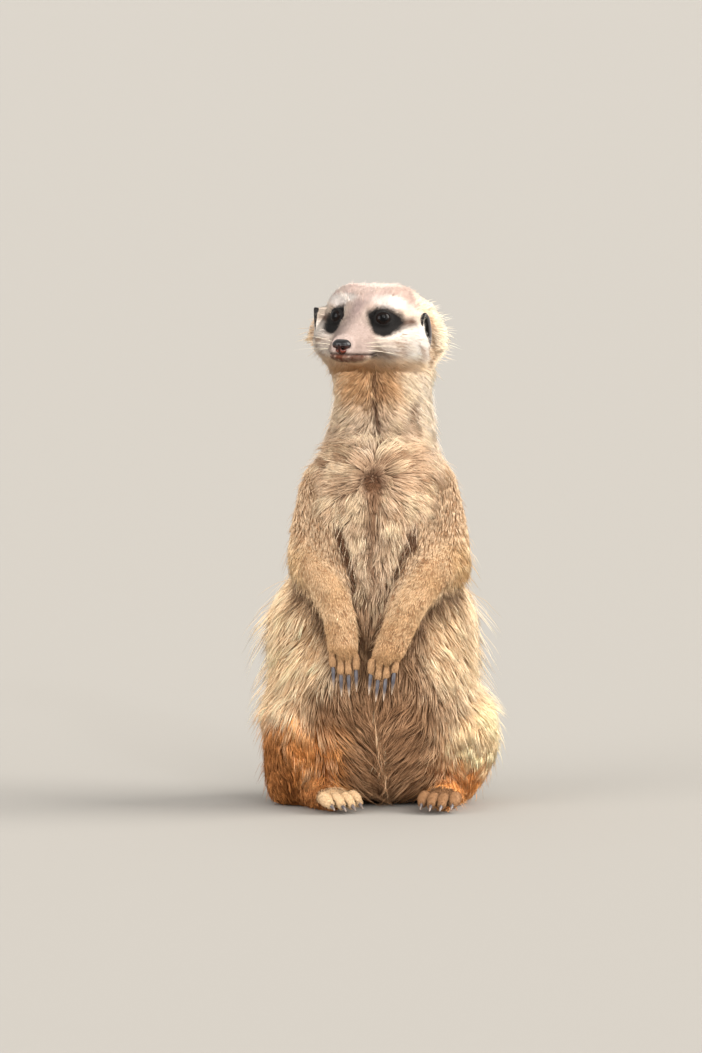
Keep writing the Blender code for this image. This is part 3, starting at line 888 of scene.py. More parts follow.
def patch_measure(local, side):
    """How far a point lies out in the dark patch round an eye: 1 on its edge. It has a lobe below."""
    centre, axis, outward, upward = eye_frame(side)
    away = local - centre
    s, t = away @ outward, away @ upward
    almond = np.hypot((s - 0.4) / 10.0, (t + 0.5 + 0.12 * s) / 6.0)
    lobe = np.hypot((s + 0.6) / 7.2, (t + 4.3) / 5.9)
    q = 0.07 - np.log(np.exp(-7 * almond) + np.exp(-7 * lobe)) / 7 + 0.04 * wavy(local, 3.5, 7)
    q = q + np.where(away @ axis < -7, 9, 0)
    q = q + 0.9 * ramp(np.abs(local[:, 1] - MARKING_MIDDLE), 6.4, 4.2)
    return q, s, t


def colours_of_head(local, normals):
    """Root and tip colours at each point of the skin, where it belongs to the head."""
    ahead, left, up = local.T
    aside = np.abs(left)
    tints = Tints(len(local), rgb(244, 230, 214), rgb(206, 182, 160))
    tint = tints.lay

    mottle = wavy(local, 9, 5)
    tint(CROWN, rgb(214, 188, 176), ramp(up, 7, 14) * (1 - 0.2 * mottle))
    tint(rgb(208, 182, 169), rgb(178, 150, 136), ramp(up, 9, 14) * ramp(left, 4, 14) * 0.75)
    # A tan strip behind the ears, then the cream ruff, and the tan nape
    tint(rgb(206, 176, 142), rgb(130, 98, 68), ramp(ahead, -10, -20))
    beside = ramp(aside, 17, 24) * ramp(normals @ HEAD_AXES[0], -0.85, -0.45)
    # The ruff is cream, greyer on the right side as painted shade
    ruff_tip_with_painted_shade = mix(rgb(255, 244, 224), rgb(234, 214, 186), ramp(left, 0, -10))
    ruff_root_with_painted_shade = mix(rgb(240, 218, 188), rgb(204, 176, 144), ramp(left, 0, -10))
    tint(ruff_tip_with_painted_shade, ruff_root_with_painted_shade, ramp(ahead, 0, -2) * ramp(ahead + 5 * mottle, -33, -17) * beside)
    strip = ramp(ahead, 3, 1) * ramp(ahead, -6, -3) * ramp(aside, 24, 27) * ramp(up, -18, -12)
    tint(rgb(250, 226, 194), rgb(180, 130, 88), strip)
    # Greyer between the eyes and along the bridge
    bridge = bump(left, -1, 5.0) * ramp(ahead, 12, 17) * ramp(ahead, 30, 23)
    tint(rgb(206, 184, 178), rgb(176, 150, 142), bridge)
    tint(MUZZLE, rgb(186, 162, 152), ramp(ahead, 20, 27))
    # White cheeks, and the tan of chin and throat
    tint(WHITE, rgb(232, 214, 198), ramp(aside, 10, 14) * ramp(up, 4, 0) * ramp(ahead, -1, 4))
    behind_pads = bump(ahead, 21, 4) * bump(up, -7, 3.0) * (aside > 8)
    tint(rgb(206, 182, 166), rgb(166, 138, 120), behind_pads * 0.5)
    streaks = ramp(wavy(local * np.array((1, 1, 3.0)), 9, 15), 0.1, 0.7)
    streaks = streaks * ramp(aside, 10, 14) * ramp(up, -2, -6) * ramp(ahead, 0, 5)
    tint(rgb(196, 168, 146), rgb(146, 116, 94), streaks * 0.8)
    # The jaw and the throat below it, warm
    tint(rgb(250, 226, 196), rgb(208, 168, 130), ramp(up, -12, -17) * ramp(ahead, -14, -4))
    tint(WARM, rgb(186, 136, 94), ramp(up, -15, -21) * ramp(aside, 25, 14) * ramp(ahead, -8, 2))
    # Lips, with painted shade in the crease between them and at the mouth's corner
    line = mouth_line(ahead)
    on_muzzle = ramp(ahead, MOUTH_CORNER_AHEAD - 2.5, MOUTH_CORNER_AHEAD + 1)
    patchy = 0.85 + 0.30 * wavy(local, 4, 16)
    lip = ramp(up, line - 4.8, line - 3.4) * ramp(up, line + 0.3, line - 0.2)
    tint(rgb(106, 56, 34), rgb(80, 40, 26), lip * ramp(ahead, 29, 36) * patchy)
    # Painted shade in the crease between the lips, darkest at the corner
    tint(rgb(84, 54, 42), rgb(60, 36, 28), bump(up, line, 0.7) * on_muzzle * 0.8)
    corner = bump(ahead, 24.5, 3.0) * bump(up, line, 1.6) * (aside > 6)
    tint(rgb(66, 50, 44), rgb(48, 36, 30), corner * 0.95)
    # White brows and the dark patches
    for side in SIDES:
        q, s, t = patch_measure(local, side)
        brow = ramp(np.hypot((s - 2.0) / 9.0, (t - 7.9 + 0.10 * s) / 3.2), 1.2, 0.6) * ramp(ahead, -2, 3)
        tint(WHITE, rgb(240, 228, 222), brow * 0.9)
        tail = bump(s, 13.0, 4.6) * bump(t, -2.0, 2.6) * ramp(ahead, -2, 3)
        tint(rgb(118, 88, 72), rgb(84, 60, 48), tail)
        tint(rgb(92, 66, 54), rgb(60, 42, 34), ramp(q, 1.24, 1.02) * 0.7)
        tint(BLACK, BLACK * 0.7, ramp(q, 1.08, 0.92))
    return tints.root, tints.tip


def coat_at(points, normals, traits):
    """The sizes of the tufts, and the colours of their roots and tips, at points of the skin."""
    weights = coat_weights(points, normals, traits[:, : len(GROUPS)])
    groove, on_digit, beside_arm = traits[:, len(GROUPS) :].T
    x, _, z = points.T
    local = to_head(points)
    ahead, left, up = local.T
    aside = np.abs(left)
    on_head = ramp(share_of(weights, "head"), 0.25, 0.75)
    on_arm = share_of(weights, *ARM)

    root, tip = colours_of_body(points, normals, weights)
    head_root, head_tip = colours_of_head(local, normals)
    # Painted shade in the grooves between the digits
    root = mix(mix(root, head_root, on_head), PAINTED_SHADE_BETWEEN_DIGITS, groove)
    tip = mix(mix(tip, head_tip, on_head), PAINTED_SHADE_BETWEEN_DIGITS, groove)
    # The fingers are darker than the backs of the hands
    on_finger = 0.55 * on_digit * ramp(share_of(weights, "hand"), 0.4, 0.8)
    root = mix(root, rgb(120, 92, 72), on_finger)
    tip = mix(tip, rgb(168, 128, 92), on_finger)

    length, height, width, clump, pull = (by_group(weights, column) for column in range(1, 6))
    # Shaggy flanks and elbows, short hair beside the arms and round the whorl
    flank = share_of(weights, "belly") * ramp(np.abs(x), 26, 46)
    elbow = elbow_fluff(points, on_arm)
    shaggy = flank * bump(z, 104, 22)
    length += 5.5 * flank + 6.0 * shaggy + 9.0 * elbow
    height += 4.2 * flank + 4.0 * shaggy + 4.0 * elbow
    at_whorl = ramp(from_whorl(points), 9, 2) * ramp(normals[:, 1], 0.15, -0.45)
    short = (1 - 0.9 * beside_arm) * (1 - 0.6 * at_whorl)
    length *= short
    height *= short
    # The head: short on the muzzle, a ruff on the cheeks and behind the ears
    muzzle = on_head * ramp(ahead, 14, 30)
    length *= 1 - 0.55 * muzzle
    height *= 1 - 0.65 * muzzle
    width *= 1 - 0.30 * muzzle
    cheek = ramp(aside, 17, 25) * ramp(up, 8, -4) * ramp(ahead, 22, 12)
    cheek *= 1 - 0.9 * ramp(np.hypot((ahead - 6) / 8, (up - 0.5) / 12), 1.2, 0.8)
    behind = ramp(aside, 20, 26) * ramp(ahead, -4, -9) * ramp(up, 18, 10)
    ruff = on_head * np.maximum(cheek, behind)
    length += 4.5 * ruff
    height += 2.2 * ruff
    height *= 1 - 0.45 * on_head * ramp(up, 10, 15) * ramp(ahead, -14, -4)
    for side in SIDES:
        near_eye = ramp(patch_measure(local, side)[0], 1.5, 0.7)
        length *= 1 - 0.60 * near_eye
        height *= 1 - 0.70 * near_eye
        q, a = ear_measure(local, side)
        before_ear = on_head * ramp(q, 2.7, 1.6) * (a > 0)
        length += (3.3 - length) * before_ear
        height += (0.9 - height) * before_ear
    length *= 1 - 0.45 * on_digit
    height *= 1 - 0.70 * on_digit
    width *= 1 - 0.25 * on_digit
    return np.stack((length, height, width, clump, pull), axis=1), root, tip


# ================================================================ materials
def new_material(name):
    material = bpy.data.materials.new(name)
    material.use_nodes = True
    tree = material.node_tree
    shader = tree.nodes["Principled BSDF"]
    return material, tree, shader


def set_inputs(node, **values):
    for key, value in values.items():
        node.inputs[key.replace("_", " ")].default_value = value


def add_node(tree, kind, settings=None, **inputs):
    node = tree.nodes.new(kind)
    for key, value in (settings or {}).items():
        setattr(node, key, value)
    set_inputs(node, **inputs)
    return node


def painted_material(name, roughness, noise_scale, contrast, relief, specular=0.3, gloss=None):
    """A finish with the mesh's own colours, broken up by fine noise, and relief of the same grain.

    The relief is its strength and its depth in millimetres, and gloss a clear layer's weight and roughness.
    """
    material, tree, shader = new_material(name)
    strength, deep = relief
    paint_node = add_node(tree, "ShaderNodeVertexColor", {"layer_name": "coat"})
    place = add_node(tree, "ShaderNodeTexCoord")
    noise = add_node(tree, "ShaderNodeTexNoise", Scale=noise_scale, Detail=4.0, Roughness=0.6)
    ends = {"From_Min": 0.3, "From_Max": 0.7, "To_Min": 1 - contrast, "To_Max": 1 + contrast}
    shade = add_node(tree, "ShaderNodeMapRange", **ends)
    blend = add_node(tree, "ShaderNodeVectorMath", {"operation": "SCALE"})
    grain = add_node(tree, "ShaderNodeBump", Strength=strength, Distance=deep * MM)
    for source, output, target, entry in (
        (place, "Object", noise, "Vector"),
        (noise, "Fac", shade, "Value"),
        (paint_node, "Color", blend, 0),
        (shade, "Result", blend, "Scale"),
        (blend, "Vector", shader, "Base Color"),
        (noise, "Fac", grain, "Height"),
        (grain, "Normal", shader, "Normal"),
    ):
        tree.links.new(source.outputs[output], target.inputs[entry])
    set_inputs(shader, Roughness=roughness, Specular_IOR_Level=specular)
    if gloss:
        set_inputs(shader, Coat_Weight=gloss[0], Coat_Roughness=gloss[1])
    return material


skin_material = painted_material("meerkat_skin", 0.75, 900.0, 0.22, (0.6, 0.4))
coat_material = painted_material("meerkat_coat", 0.62, 220.0, 0.10, (0.0, 0.05), 0.22)
ear_material = painted_material("ear_skin", 0.55, 700.0, 0.2, (0.5, 0.3))
nose_material = painted_material("nose_leather", 0.38, 1500.0, 0.25, (0.7, 0.25), 0.22, gloss=(0.4, 0.10))
eye_material = painted_material("eye", 0.07, 900.0, 0.3, (0.0, 0.02), 0.03, gloss=(0.22, 0.02))
claw_material = painted_material("claw", 0.32, 600.0, 0.18, (0.35, 0.1), 0.5)
whisker_material = painted_material("whisker", 0.35, 400.0, 0.05, (0.0, 0.02))

# ================================================================ skin, put together
surface = build_skin()
for _ in range(BODY_SMOOTHING):
    surface.points = surface.spread(surface.points, 1)
nodes = nearest_nodes(surface.points)
raw_weights = blended_weights(surface, nodes)
normals = surface.normals()
weights = coat_weights(surface.points, normals, raw_weights)

depth = by_group(weights, 0)
local = to_head(surface.points)
on_head = share_of(weights, "head")
face_front = ramp(local[:, 0], 8, 24)
cheeks = ramp(np.abs(local[:, 1]), 20, 28)
depth = depth * (1 - on_head) + on_head * (depth - 0.9 * face_front + 1.4 * cheeks * ramp(local[:, 0], -8, 0))
depth = depth + 2.2 * share_of(weights, "belly") * ramp(np.abs(surface.points[:, 0]), 30, 50)
depth = depth - 6.5 * share_of(weights, "belly") * below_elbows(surface.points)
on_arm = share_of(weights, *ARM)
beside_arm = surface.spread(on_arm, 40) * (1 - on_arm) * ramp(surface.points[:, 2], 166, 156)
depth = depth + 3.0 * beside_arm
armpit = bump(past_arm_edge(surface.points), -1.5, 2.0) * under_shoulders(surface.points, normals)
depth = depth + 1.8 * armpit
surface.points = surface.points - surface.spread(normals, 4) * (depth + SEAM_CLOSING)[:, None]
surface.points = surface.spread(surface.points, 2)
surface.points[:, 2] = np.maximum(surface.points[:, 2], SKIN_OVER_FLOOR)
groove, on_digit = shape_digits(surface)
shape_face(surface, surface.normals())
normals = surface.normals()
local = to_head(surface.points)

traits = np.column_stack((raw_weights, groove, on_digit, beside_arm))
root_colour, tip_colour = coat_at(surface.points, normals, traits)[1:]
weights = coat_weights(surface.points, normals, raw_weights)
head_share = ramp(on_head, 0.25, 0.75)

way = lie_of_coat(surface.points, normals, weights)
way = way + along_tail(surface.points) * share_of(weights, "tail")[:, None]
way = mix(way, unit(lie_on_head(local)) @ HEAD_AXES, head_share)
way = way - normals * (way * normals).sum(axis=1)[:, None]
way = unit(surface.spread(unit(way), 4))

short = np.clip(on_head * face_front + share_of(weights, "hand", "foot"), 0, 1)
skin_colour = mix(root_colour, tip_colour, 0.45 + 0.25 * short)
skin = new_piece("skin", surface.points, surface.triangles, skin_material, skin_colour)
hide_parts(*FLESH)

# ================================================================ the coat
TREE = BVHTree.FromPolygons(surface.points.tolist(), surface.triangles.tolist())
face_way = unit(way[surface.triangles].mean(axis=1))
face_normal = unit(surface.face_normals())
face_weight = weights[surface.triangles].mean(axis=1)
face_group = face_weight.argmax(axis=1)
face_node = nodes[surface.triangles[:, 0]]
face_middle = surface.points[surface.triangles].mean(axis=1)
face_local = to_head(face_middle)
face_area = surface.areas()


def nearest_on_skin(points):
    """The nearest place on the skin to each point, and the number of its face."""
    places = np.empty_like(points)
    faces = np.empty(len(points), int)
    for i, p in enumerate(points.tolist()):
        place, _, index, _ = TREE.find_nearest(p)
        places[i] = place
        faces[i] = index
    return places, faces


def pick_roots(chosen, share, count):
    """Places for the tufts: evenly spread over the chosen faces, in step with the share each wants."""
    faces = np.flatnonzero(chosen)
    want = face_area[faces] * share[faces]
    edges = np.cumsum(want) / want.sum() * count
    steps = np.arange(count) + rng.uniform(0, 1, count)
    picked = faces[np.searchsorted(edges, steps.clip(0, count - 1e-6))]
    a, b = rng.uniform(0, 1, (2, count))
    over = a + b > 1
    a[over], b[over] = 1 - a[over], 1 - b[over]
    corners = np.stack((1 - a - b, a, b), axis=1)
    return picked, corners


def at_corners(values, faces, corners):
    """Values of the skin's points at places inside its faces."""
    return np.einsum("nk,nk...->n...", corners, values[surface.triangles[faces]])


def unwrapped(points, face_nodes):
    """Where each root lies on the unwrap: one tile for each node, rolled out round the node's own length."""
    used = sorted(set(face_nodes.tolist()))
    tiles = math.ceil(math.sqrt(len(used)))
    uv = np.zeros((len(points), 2))
    for number, node in enumerate(used):
        mine = face_nodes == node
        vertices = read_mesh(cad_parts[FLESH[node]].data)[0]
        centre = (vertices.min(axis=0) + vertices.max(axis=0)) / 2
        axis = np.array((0, 0, 1.0))
        if GROUPS_OF_FLESH[node] not in ("head", "neck", "chest", "belly"):
            axis = np.linalg.svd(vertices - vertices.mean(axis=0), full_matrices=False)[2][0]
        across = unit(np.cross(axis, (0.3, 1.0, 0.2)))
        third = np.cross(axis, across)
        away = points[mine] - centre
        angle = np.arctan2(away @ third, away @ across) / (2 * math.pi) + 0.5
        along = away @ axis
        reach = np.abs((vertices - centre) @ axis).max()
        if GROUPS_OF_FLESH[node] == "head":
            rise = np.arctan2(along, np.hypot(away @ third, away @ across)) / math.pi + 0.5
        else:
            rise = (along / reach).clip(-1, 1) / 2 + 0.5
        uv[mine, 0] = (number % tiles + 0.03 + 0.94 * angle) / tiles
        uv[mine, 1] = (number // tiles + 0.03 + 0.94 * rise) / tiles
    return uv


def tuft_spines(roots, across, run, length, height, turn, stiff, segments):
    """Points along each tuft. It steps along the skin and rises from it, and stands off a bend when stiff."""
    spine = [roots - across * 0.4]
    place, out, step_way = roots, across, run
    for step in range(1, segments + 1):
        t = step / segments
        sideways = np.cross(out, step_way)
        step_way = unit(step_way + sideways * (turn * (1 - 0.5 * t))[:, None])
        place, hit = nearest_on_skin(place + step_way * (length / segments)[:, None])
        out = unit(face_normal[hit])
        step_way = unit(step_way + face_way[hit])
        step_way = unit(step_way - out * (step_way * out).sum(axis=1)[:, None])
        rise = (height * t**0.7)[:, None]
        straight = roots + run * (length * t)[:, None] + across * rise
        spine.append(mix(place + out * rise, straight, stiff))
    return np.array(spine)


def clump_leaders(roots, clump, area):
    """Shares the tufts out into clumps of about that size, and gives the number of each one's leader."""
    heads = max(8, min(len(roots) // 5, int(area / clump**2)))
    leaders = rng.choice(len(roots), heads, replace=False)
    tree = KDTree(heads)
    for i, leader in enumerate(leaders):
        tree.insert(roots[leader], i)
    tree.balance()
    return leaders[[tree.find(p)[1] for p in roots.tolist()]]


def tuft_points(spine, across, width):
    """Rings of three points along each spine, and its tip, tuft by tuft."""
    segments = len(spine) - 1
    profile = {1: (1.0,), 2: (0.8, 1.0), 3: (0.8, 1.0, 0.72)}[segments]
    rows = []
    for step in range(segments):
        forward = unit(spine[step + 1] - spine[max(step - 1, 0)])
        flat = unit(np.cross(forward, across))
        ridge = np.cross(flat, forward)
        half = (width * profile[step] / 2)[:, None]
        rows += [spine[step] + flat * half, spine[step] + ridge * half * 0.9, spine[step] - flat * half]
    rows.append(spine[segments])
    points = np.stack(rows, axis=1).reshape(-1, 3)
    points[:, 2] = np.maximum(points[:, 2], COAT_OVER_FLOOR)
    past = np.maximum(np.abs(points[:, 0]) - COAT_HALF_WIDTH, 0)
    points[:, 0] -= np.sign(points[:, 0]) * COAT_BEND * past
    return points


def tuft_triangles(count, segments):
    """Triangles over the rings of each tuft, closed at the root and drawn to a point at the tip."""
    tip = segments * 3
    pattern = [(0, 1, 2)]
    for ring in range(segments - 1):
        for corner in range(3):
            a, b = ring * 3 + corner, ring * 3 + (corner + 1) % 3
            pattern += [(a, a + 3, b), (b, a + 3, b + 3)]
    last = tip - 3
    pattern += [(last + corner, tip, last + (corner + 1) % 3) for corner in range(3)]
    return (np.arange(count)[:, None, None] * (tip + 1) + np.array(pattern)).reshape(-1, 3)


def tuft_colours(root, tip, length, follows, segments):
    """A colour at each point of each tuft. Tufts and clumps vary, and some locks of long hair are paler."""
    count = len(root)
    pale = (rng.uniform(size=count) < PALE_LOCKS)[follows] * ramp(length, 7, 12) * ramp(tip[:, 1], 0.2, 0.6)
    tip = mix(tip, PALE_LOCK, 0.65 * pale)
    vary = 0.10 * rng.normal(size=count) + 0.17 * ramp(length, 4, 11) * rng.normal(size=count)[follows]
    vary = 1 + vary * (1 - 0.55 * ramp(tip[:, 2], 0.35, 0.6))
    vary = vary.clip(0.6, 1.3)[:, None, None] ** np.array((0.85, 1.0, 1.15))
    shares = [ramp(step / segments, -0.1, 0.75) for step in range(segments) for _ in range(3)] + [1.0]
    colours = np.stack([mix(root, tip, np.full(count, s)) for s in shares], axis=1) * vary
    return colours.reshape(-1, 3)


def lay_on_unwrap(piece, places, triangles, segments):
    """Lays each tuft as a small patch at its root's place on the unwrap."""
    steps = [(i % 3 - 1, i // 3 / segments - 0.5) for i in range(segments * 3)] + [(0, 0.5)]
    offsets = np.array(steps) * (PATCH / 2, PATCH)
    uv = (places[:, None, :] + offsets).reshape(-1, 2)
    layer = piece.data.uv_layers.new(name="OFBake")
    layer.data.foreach_set("uv", uv[triangles.ravel()].astype(np.float32).ravel())


def make_coat(name, chosen, count, segments, share, width_scale):
    """One piece of the coat: tufts that start in the skin and lie along it, drawn together into clumps."""
    faces, corners = pick_roots(chosen, share, count)
    roots = at_corners(surface.points, faces, corners)
    across = unit(at_corners(normals, faces, corners))
    run = at_corners(way, faces, corners)
    sizes, root, tip = coat_at(roots, across, at_corners(traits, faces, corners))
    length, height, width, clump, pull = sizes.T
    length = length * rng.uniform(0.72, 1.18, count)
    height = height * rng.uniform(0.45, 1.15, count)
    strays = rng.uniform(0, 1, count) < STRAYS
    length = np.where(strays, length * 1.3, length)
    height = np.where(strays, height * 2.0, height)
    width = width * width_scale * rng.uniform(0.75, 1.2, count) * np.where(strays, 0.65, 1.0)
    turn = 0.22 * rng.normal(size=count) + 0.30 * wavy(roots, 17, 3) + 0.16 * wavy(roots, 6, 4)
    stiff = np.where(strays, 0.9, 0.35 + 0.3 * elbow_fluff(roots, 1.0))
    spine = tuft_spines(roots, across, run, length, height, turn, stiff, segments)

    # Each tuft leans to the spine of its clump's leader, more and more towards the tip
    follows = clump_leaders(roots, float(np.median(clump)), float(face_area[chosen].sum()))
    strength = pull * rng.uniform(0.55, 1.0, count) * ramp(length, 1.5, 6.0)
    strength[strays] *= 0.2
    for step in range(1, segments + 1):
        lean = strength * (step / segments) ** 1.3
        spine[step] = mix(spine[step], spine[step][follows], lean)

    points = tuft_points(spine, across, width)
    triangles = tuft_triangles(count, segments)
    colours = tuft_colours(root, tip, length, follows, segments)
    piece = new_piece(name, points, triangles, coat_material, colours)
    lay_on_unwrap(piece, unwrapped(roots, face_node[faces]), triangles, segments)


def group_is(*names):
    """Which faces of the skin have one of these kinds of coat."""
    return np.isin(face_group, [GROUPS.index(n) for n in names])


opening = np.zeros(len(face_area), bool)
for side in SIDES:
    centre, axis, outward, upward = eye_frame(side)
    away = face_local - centre
    radius = np.linalg.norm(away, axis=1)
    lid_q = lid_measure(away / radius[:, None], axis, outward, upward)
    opening |= (radius < EYE_RADIUS * 1.3) & (lid_q < 1.03)
nose_zone = np.linalg.norm(face_middle - centre_of("nose"), axis=1) < NOSE_BARE
ear_bowl = np.zeros(len(face_area), bool)
for side in SIDES:
    ear_bowl |= ear_measure(face_local, side)[0] < 1.0
bare = opening | nose_zone | ear_bowl
front_half = face_normal[:, 1] < 0.25
face_half = face_local[:, 0] > 2
is_right = face_middle[:, 0] < 0

fullness = 1.0
# Each piece's faces, how many tufts it has, the segments of each, its slot and how wide its tufts are drawn
PIECES = [
    ("coat_face", group_is("head") & face_half & ~bare, 38000, 1, "face_fur", 1.0),
    ("coat_head", group_is("head") & ~face_half & ~bare, 15000, 2, "face_fur", 1.0),
    ("coat_neck", group_is("neck"), 14500, 2, "body_fur", 1.0),
    ("coat_chest", group_is("chest") & front_half, 11500, 3, "body_fur", 1.0),
    ("coat_back", group_is("chest", "belly") & ~front_half, 15000, 2, "body_fur", 1.5),
    ("coat_belly", group_is("belly") & front_half, 11500, 3, "body_fur", 1.0),
    ("coat_arm_right", group_is(*ARM) & is_right, 11500, 2, "body_fur", 1.0),
    ("coat_arm_left", group_is(*ARM) & ~is_right, 11500, 2, "body_fur", 1.0),
    ("coat_leg_right", group_is(*LEG) & is_right, 11500, 2, "leg_fur", 1.0),
    ("coat_leg_left", group_is(*LEG) & ~is_right, 11500, 2, "leg_fur", 1.0),
    ("coat_tail", group_is("tail"), 6500, 2, "tail_tip_fur", 1.2),
]
share = 1 + 2.2 * group_is("hand", "foot") + 0.8 * group_is("forearm")
share = share + 2.5 * ramp(from_whorl(face_middle), 9, 2) * front_half
for name, chosen, count, segments, slot, wide in PIECES:
    make_coat(name, chosen, int(count * fullness), segments, share, wide / fullness**0.5)


# ================================================================ eyes, nose, ears, claws, whiskers
def over_rings(rings, sides):
    """Triangles over rings of points, closed at the ends by the two single points that follow the rings."""
    faces = []
    for step in range(sides):
        after = (step + 1) % sides
        for a in range(0, (rings - 1) * sides, sides):
            b = a + sides
            faces += [(a + step, b + step, b + after), (a + step, b + after, a + after)]
        end = (rings - 1) * sides
        faces += [(rings * sides, step, after), (rings * sides + 1, end + after, end + step)]
    return np.array(faces)


def ball(rings, sides):
    """Unit directions over a ball, with the poles last, and its triangles."""
    points = []
    for ring in range(1, rings):
        a = math.pi * ring / rings
        for step in range(sides):
            b = 2 * math.pi * step / sides
            points.append((math.cos(a), math.sin(a) * math.cos(b), math.sin(a) * math.sin(b)))
    points += [(1.0, 0.0, 0.0), (-1.0, 0.0, 0.0)]
    return np.array(points), over_rings(rings - 1, sides)


def make_eye(side):
    """A dark eye with a domed cornea, a brown iris and a wide pupil."""
    centre, axis, outward, upward = eye_frame(side)
    ways, faces = ball(44, 56)
    across, rise = ways[:, 1], ways[:, 2]
    off_axis = np.degrees(np.arccos(ways[:, 0].clip(-1, 1)))
    dome = 0.42 * ramp(off_axis, 46, 20)
    radius = EYE_RADIUS * 0.985 + dome
    shape = centre + (ways @ np.array((axis, outward, upward))) * radius[:, None]
    iris = ramp(off_axis, 44, 40)
    pupil = ramp(np.hypot(across / 0.44, rise / 0.30), 1.1, 0.9)
    streaks = 0.5 + 0.5 * np.sin(np.arctan2(rise, across) * 34 + 2 * np.sin(off_axis * 0.4))
    brown = mix(rgb(16, 9, 7), rgb(32, 18, 12), streaks * ramp(off_axis, 18, 34) * 0.6)
    shades = mix(rgb(10, 7, 6), brown, iris)
    shades = mix(shades, rgb(3, 2, 3), pupil)
    piece = new_piece(f"eye_ball_{side}", from_head(shape), faces, eye_material, shades)
    if side == "right":
        piece.data.flip_normals()
    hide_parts(f"eye_{side}")


def side_of(left):
    """0 on the middle line of the nose and 1 at its sides."""
    return ramp(np.abs(left), 0.1, 0.7)


def make_nose():
    """The nose leather: broad above, narrow below, with two nostrils and a groove between them."""
    ways, faces = ball(60, 72)
    ahead, left, up = ways.T
    centre = node_on_head("nose")
    narrow = 1 - 0.42 * ramp(up, 0.35, -0.9)
    shape = ways * np.array(NOSE_HALF) - np.array((0, 0, 1.2))
    shape[:, 1] *= narrow
    shape[:, 2] -= 0.5 * ramp(up, 0.5, 1.0) * (1 - side_of(left))
    shape[:, 0] += 0.5 * ramp(up, -0.4, 0.5) * ramp(ahead, 0, 0.6) - 0.3 * ramp(up, -0.3, -0.8)
    aside = np.abs(left)
    nostril = np.hypot((aside - 0.44) / 0.20, (up + 0.20) / 0.21)
    slit = np.hypot((aside - 0.74) / 0.24, (up + 0.30) / 0.11)
    hole = np.exp(-(nostril**2)) * (ahead > 0) + 0.8 * np.exp(-(slit**2)) * (ahead > -0.3)
    wing = np.exp(-(((nostril - 1.8) / 0.5) ** 2)) * (ahead > 0) * (up < 0.2)
    groove = bump(left, 0, 0.09) * ramp(up, 0.45, -0.1) * (ahead > 0)
    shape -= ways * (1.9 * hole + 0.6 * groove - 0.25 * wing)[:, None]
    shades = np.tile(rgb(14, 11, 13), (len(ways), 1))
    shades = mix(shades, rgb(52, 19, 13), ramp(up, 0.30, -0.05) * ramp(ahead, 0.1, 0.5))
    red_wing = np.clip(1.4 * wing, 0, 1) * ramp(up, 0.0, -0.3) * ramp(aside, 0.08, 0.2)
    shades = mix(shades, rgb(116, 44, 24), red_wing)
    # Painted shade inside the nostrils
    shades = mix(shades, rgb(9, 4, 4), np.clip(hole * 1.3, 0, 1))
    piece = new_piece("nose_leather", from_head(centre + shape), faces, nose_material, shades)
    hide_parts("nose")


def make_ear(side):
    """A low crescent of an ear: a black bowl, sunk in front and walled behind, with a thin silvery rim."""
    sign = SIGN[side]
    profile = [
        (0.02, -2.6), (0.30, -2.6), (0.55, -2.2), (0.72, -1.4), (0.84, -0.4), (0.90, 0.5), (0.95, 1.3),
        (0.99, 1.7), (1.04, 1.6), (1.08, 1.0), (1.09, 0.0), (1.05, -1.5), (0.8, -3.2), (0.02, -3.8),
    ]
    sides = 64
    lean = math.radians(EAR_LEAN)
    points, shades = [], []
    for number, (reach, rise) in enumerate(profile):
        for step in range(sides):
            angle = 2 * math.pi * step / sides
            rear = 0.5 - 0.5 * math.cos(angle)
            lift = rise * (0.1 + 0.9 * rear) if rise > 0 else rise
            lift += EAR_LEVEL + 0.8 * rear
            fold = 0.5 * math.sin(3 * angle + 0.6) * (0.3 < reach < 0.75)
            a = math.cos(angle) * EAR_HALF[0] * reach + 1.2 * max(rise, 0) / 2 * rear
            u = math.sin(angle) * EAR_HALF[1] * reach
            ahead, up = a * math.cos(lean) + u * math.sin(lean), u * math.cos(lean) - a * math.sin(lean)
            points.append((ahead, sign * (lift + fold), up))
            silver = 0.9 * (6 <= number <= 8) * rear**2 + 0.4 * (number == 5) * rear
            shade = mix(rgb(20, 14, 13), rgb(176, 170, 170), silver)
            shades.append(mix(shade, rgb(206, 160, 120), 0.9 * (number >= 9) * ramp(rear, 0.75, 0.95)))
    points += [(0, sign * (EAR_LEVEL - 2.6), 0), (0, sign * (EAR_LEVEL - 3.9), 0)]
    shades += [shades[0], shades[-1]]
    shape = from_head(ear_middle(side) + np.array(points))
    faces = over_rings(len(profile), sides)
    piece = new_piece(f"ear_cup_{side}", shape, faces, ear_material, np.array(shades))
    if side == "left":
        piece.data.flip_normals()
    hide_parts(f"ear_{side}")


def tube(line, radii, sides, flat=1.0):
    """A closed tube along a line of points, round or flattened."""
    line = np.asarray(line, float)
    rows = []
    for i, (p, r) in enumerate(zip(line, radii)):
        forward = unit(line[min(i + 1, len(line) - 1)] - line[max(i - 1, 0)])
        reference = (0.02, 0.03, 1.0) if abs(forward[2]) < 0.98 else (0, -1.0, 0)
        right = unit(np.cross(forward, reference))
        high = np.cross(right, forward)
        for step in range(sides):
            angle = 2 * math.pi * step / sides
            rows.append(p + right * math.cos(angle) * r * flat + high * math.sin(angle) * r)
    rows += [line[0], line[-1]]
    return np.array(rows), over_rings(len(line), sides)[:, ::-1]


def joined(parts):
    """One set of points, faces and colours from many."""
    points, faces, colours, offset = [], [], [], 0
    for p, f, c in parts:
        points.append(p)
        faces.append(f + offset)
        colours.append(c)
        offset += len(p)
    return np.vstack(points), np.vstack(faces), np.vstack(colours)


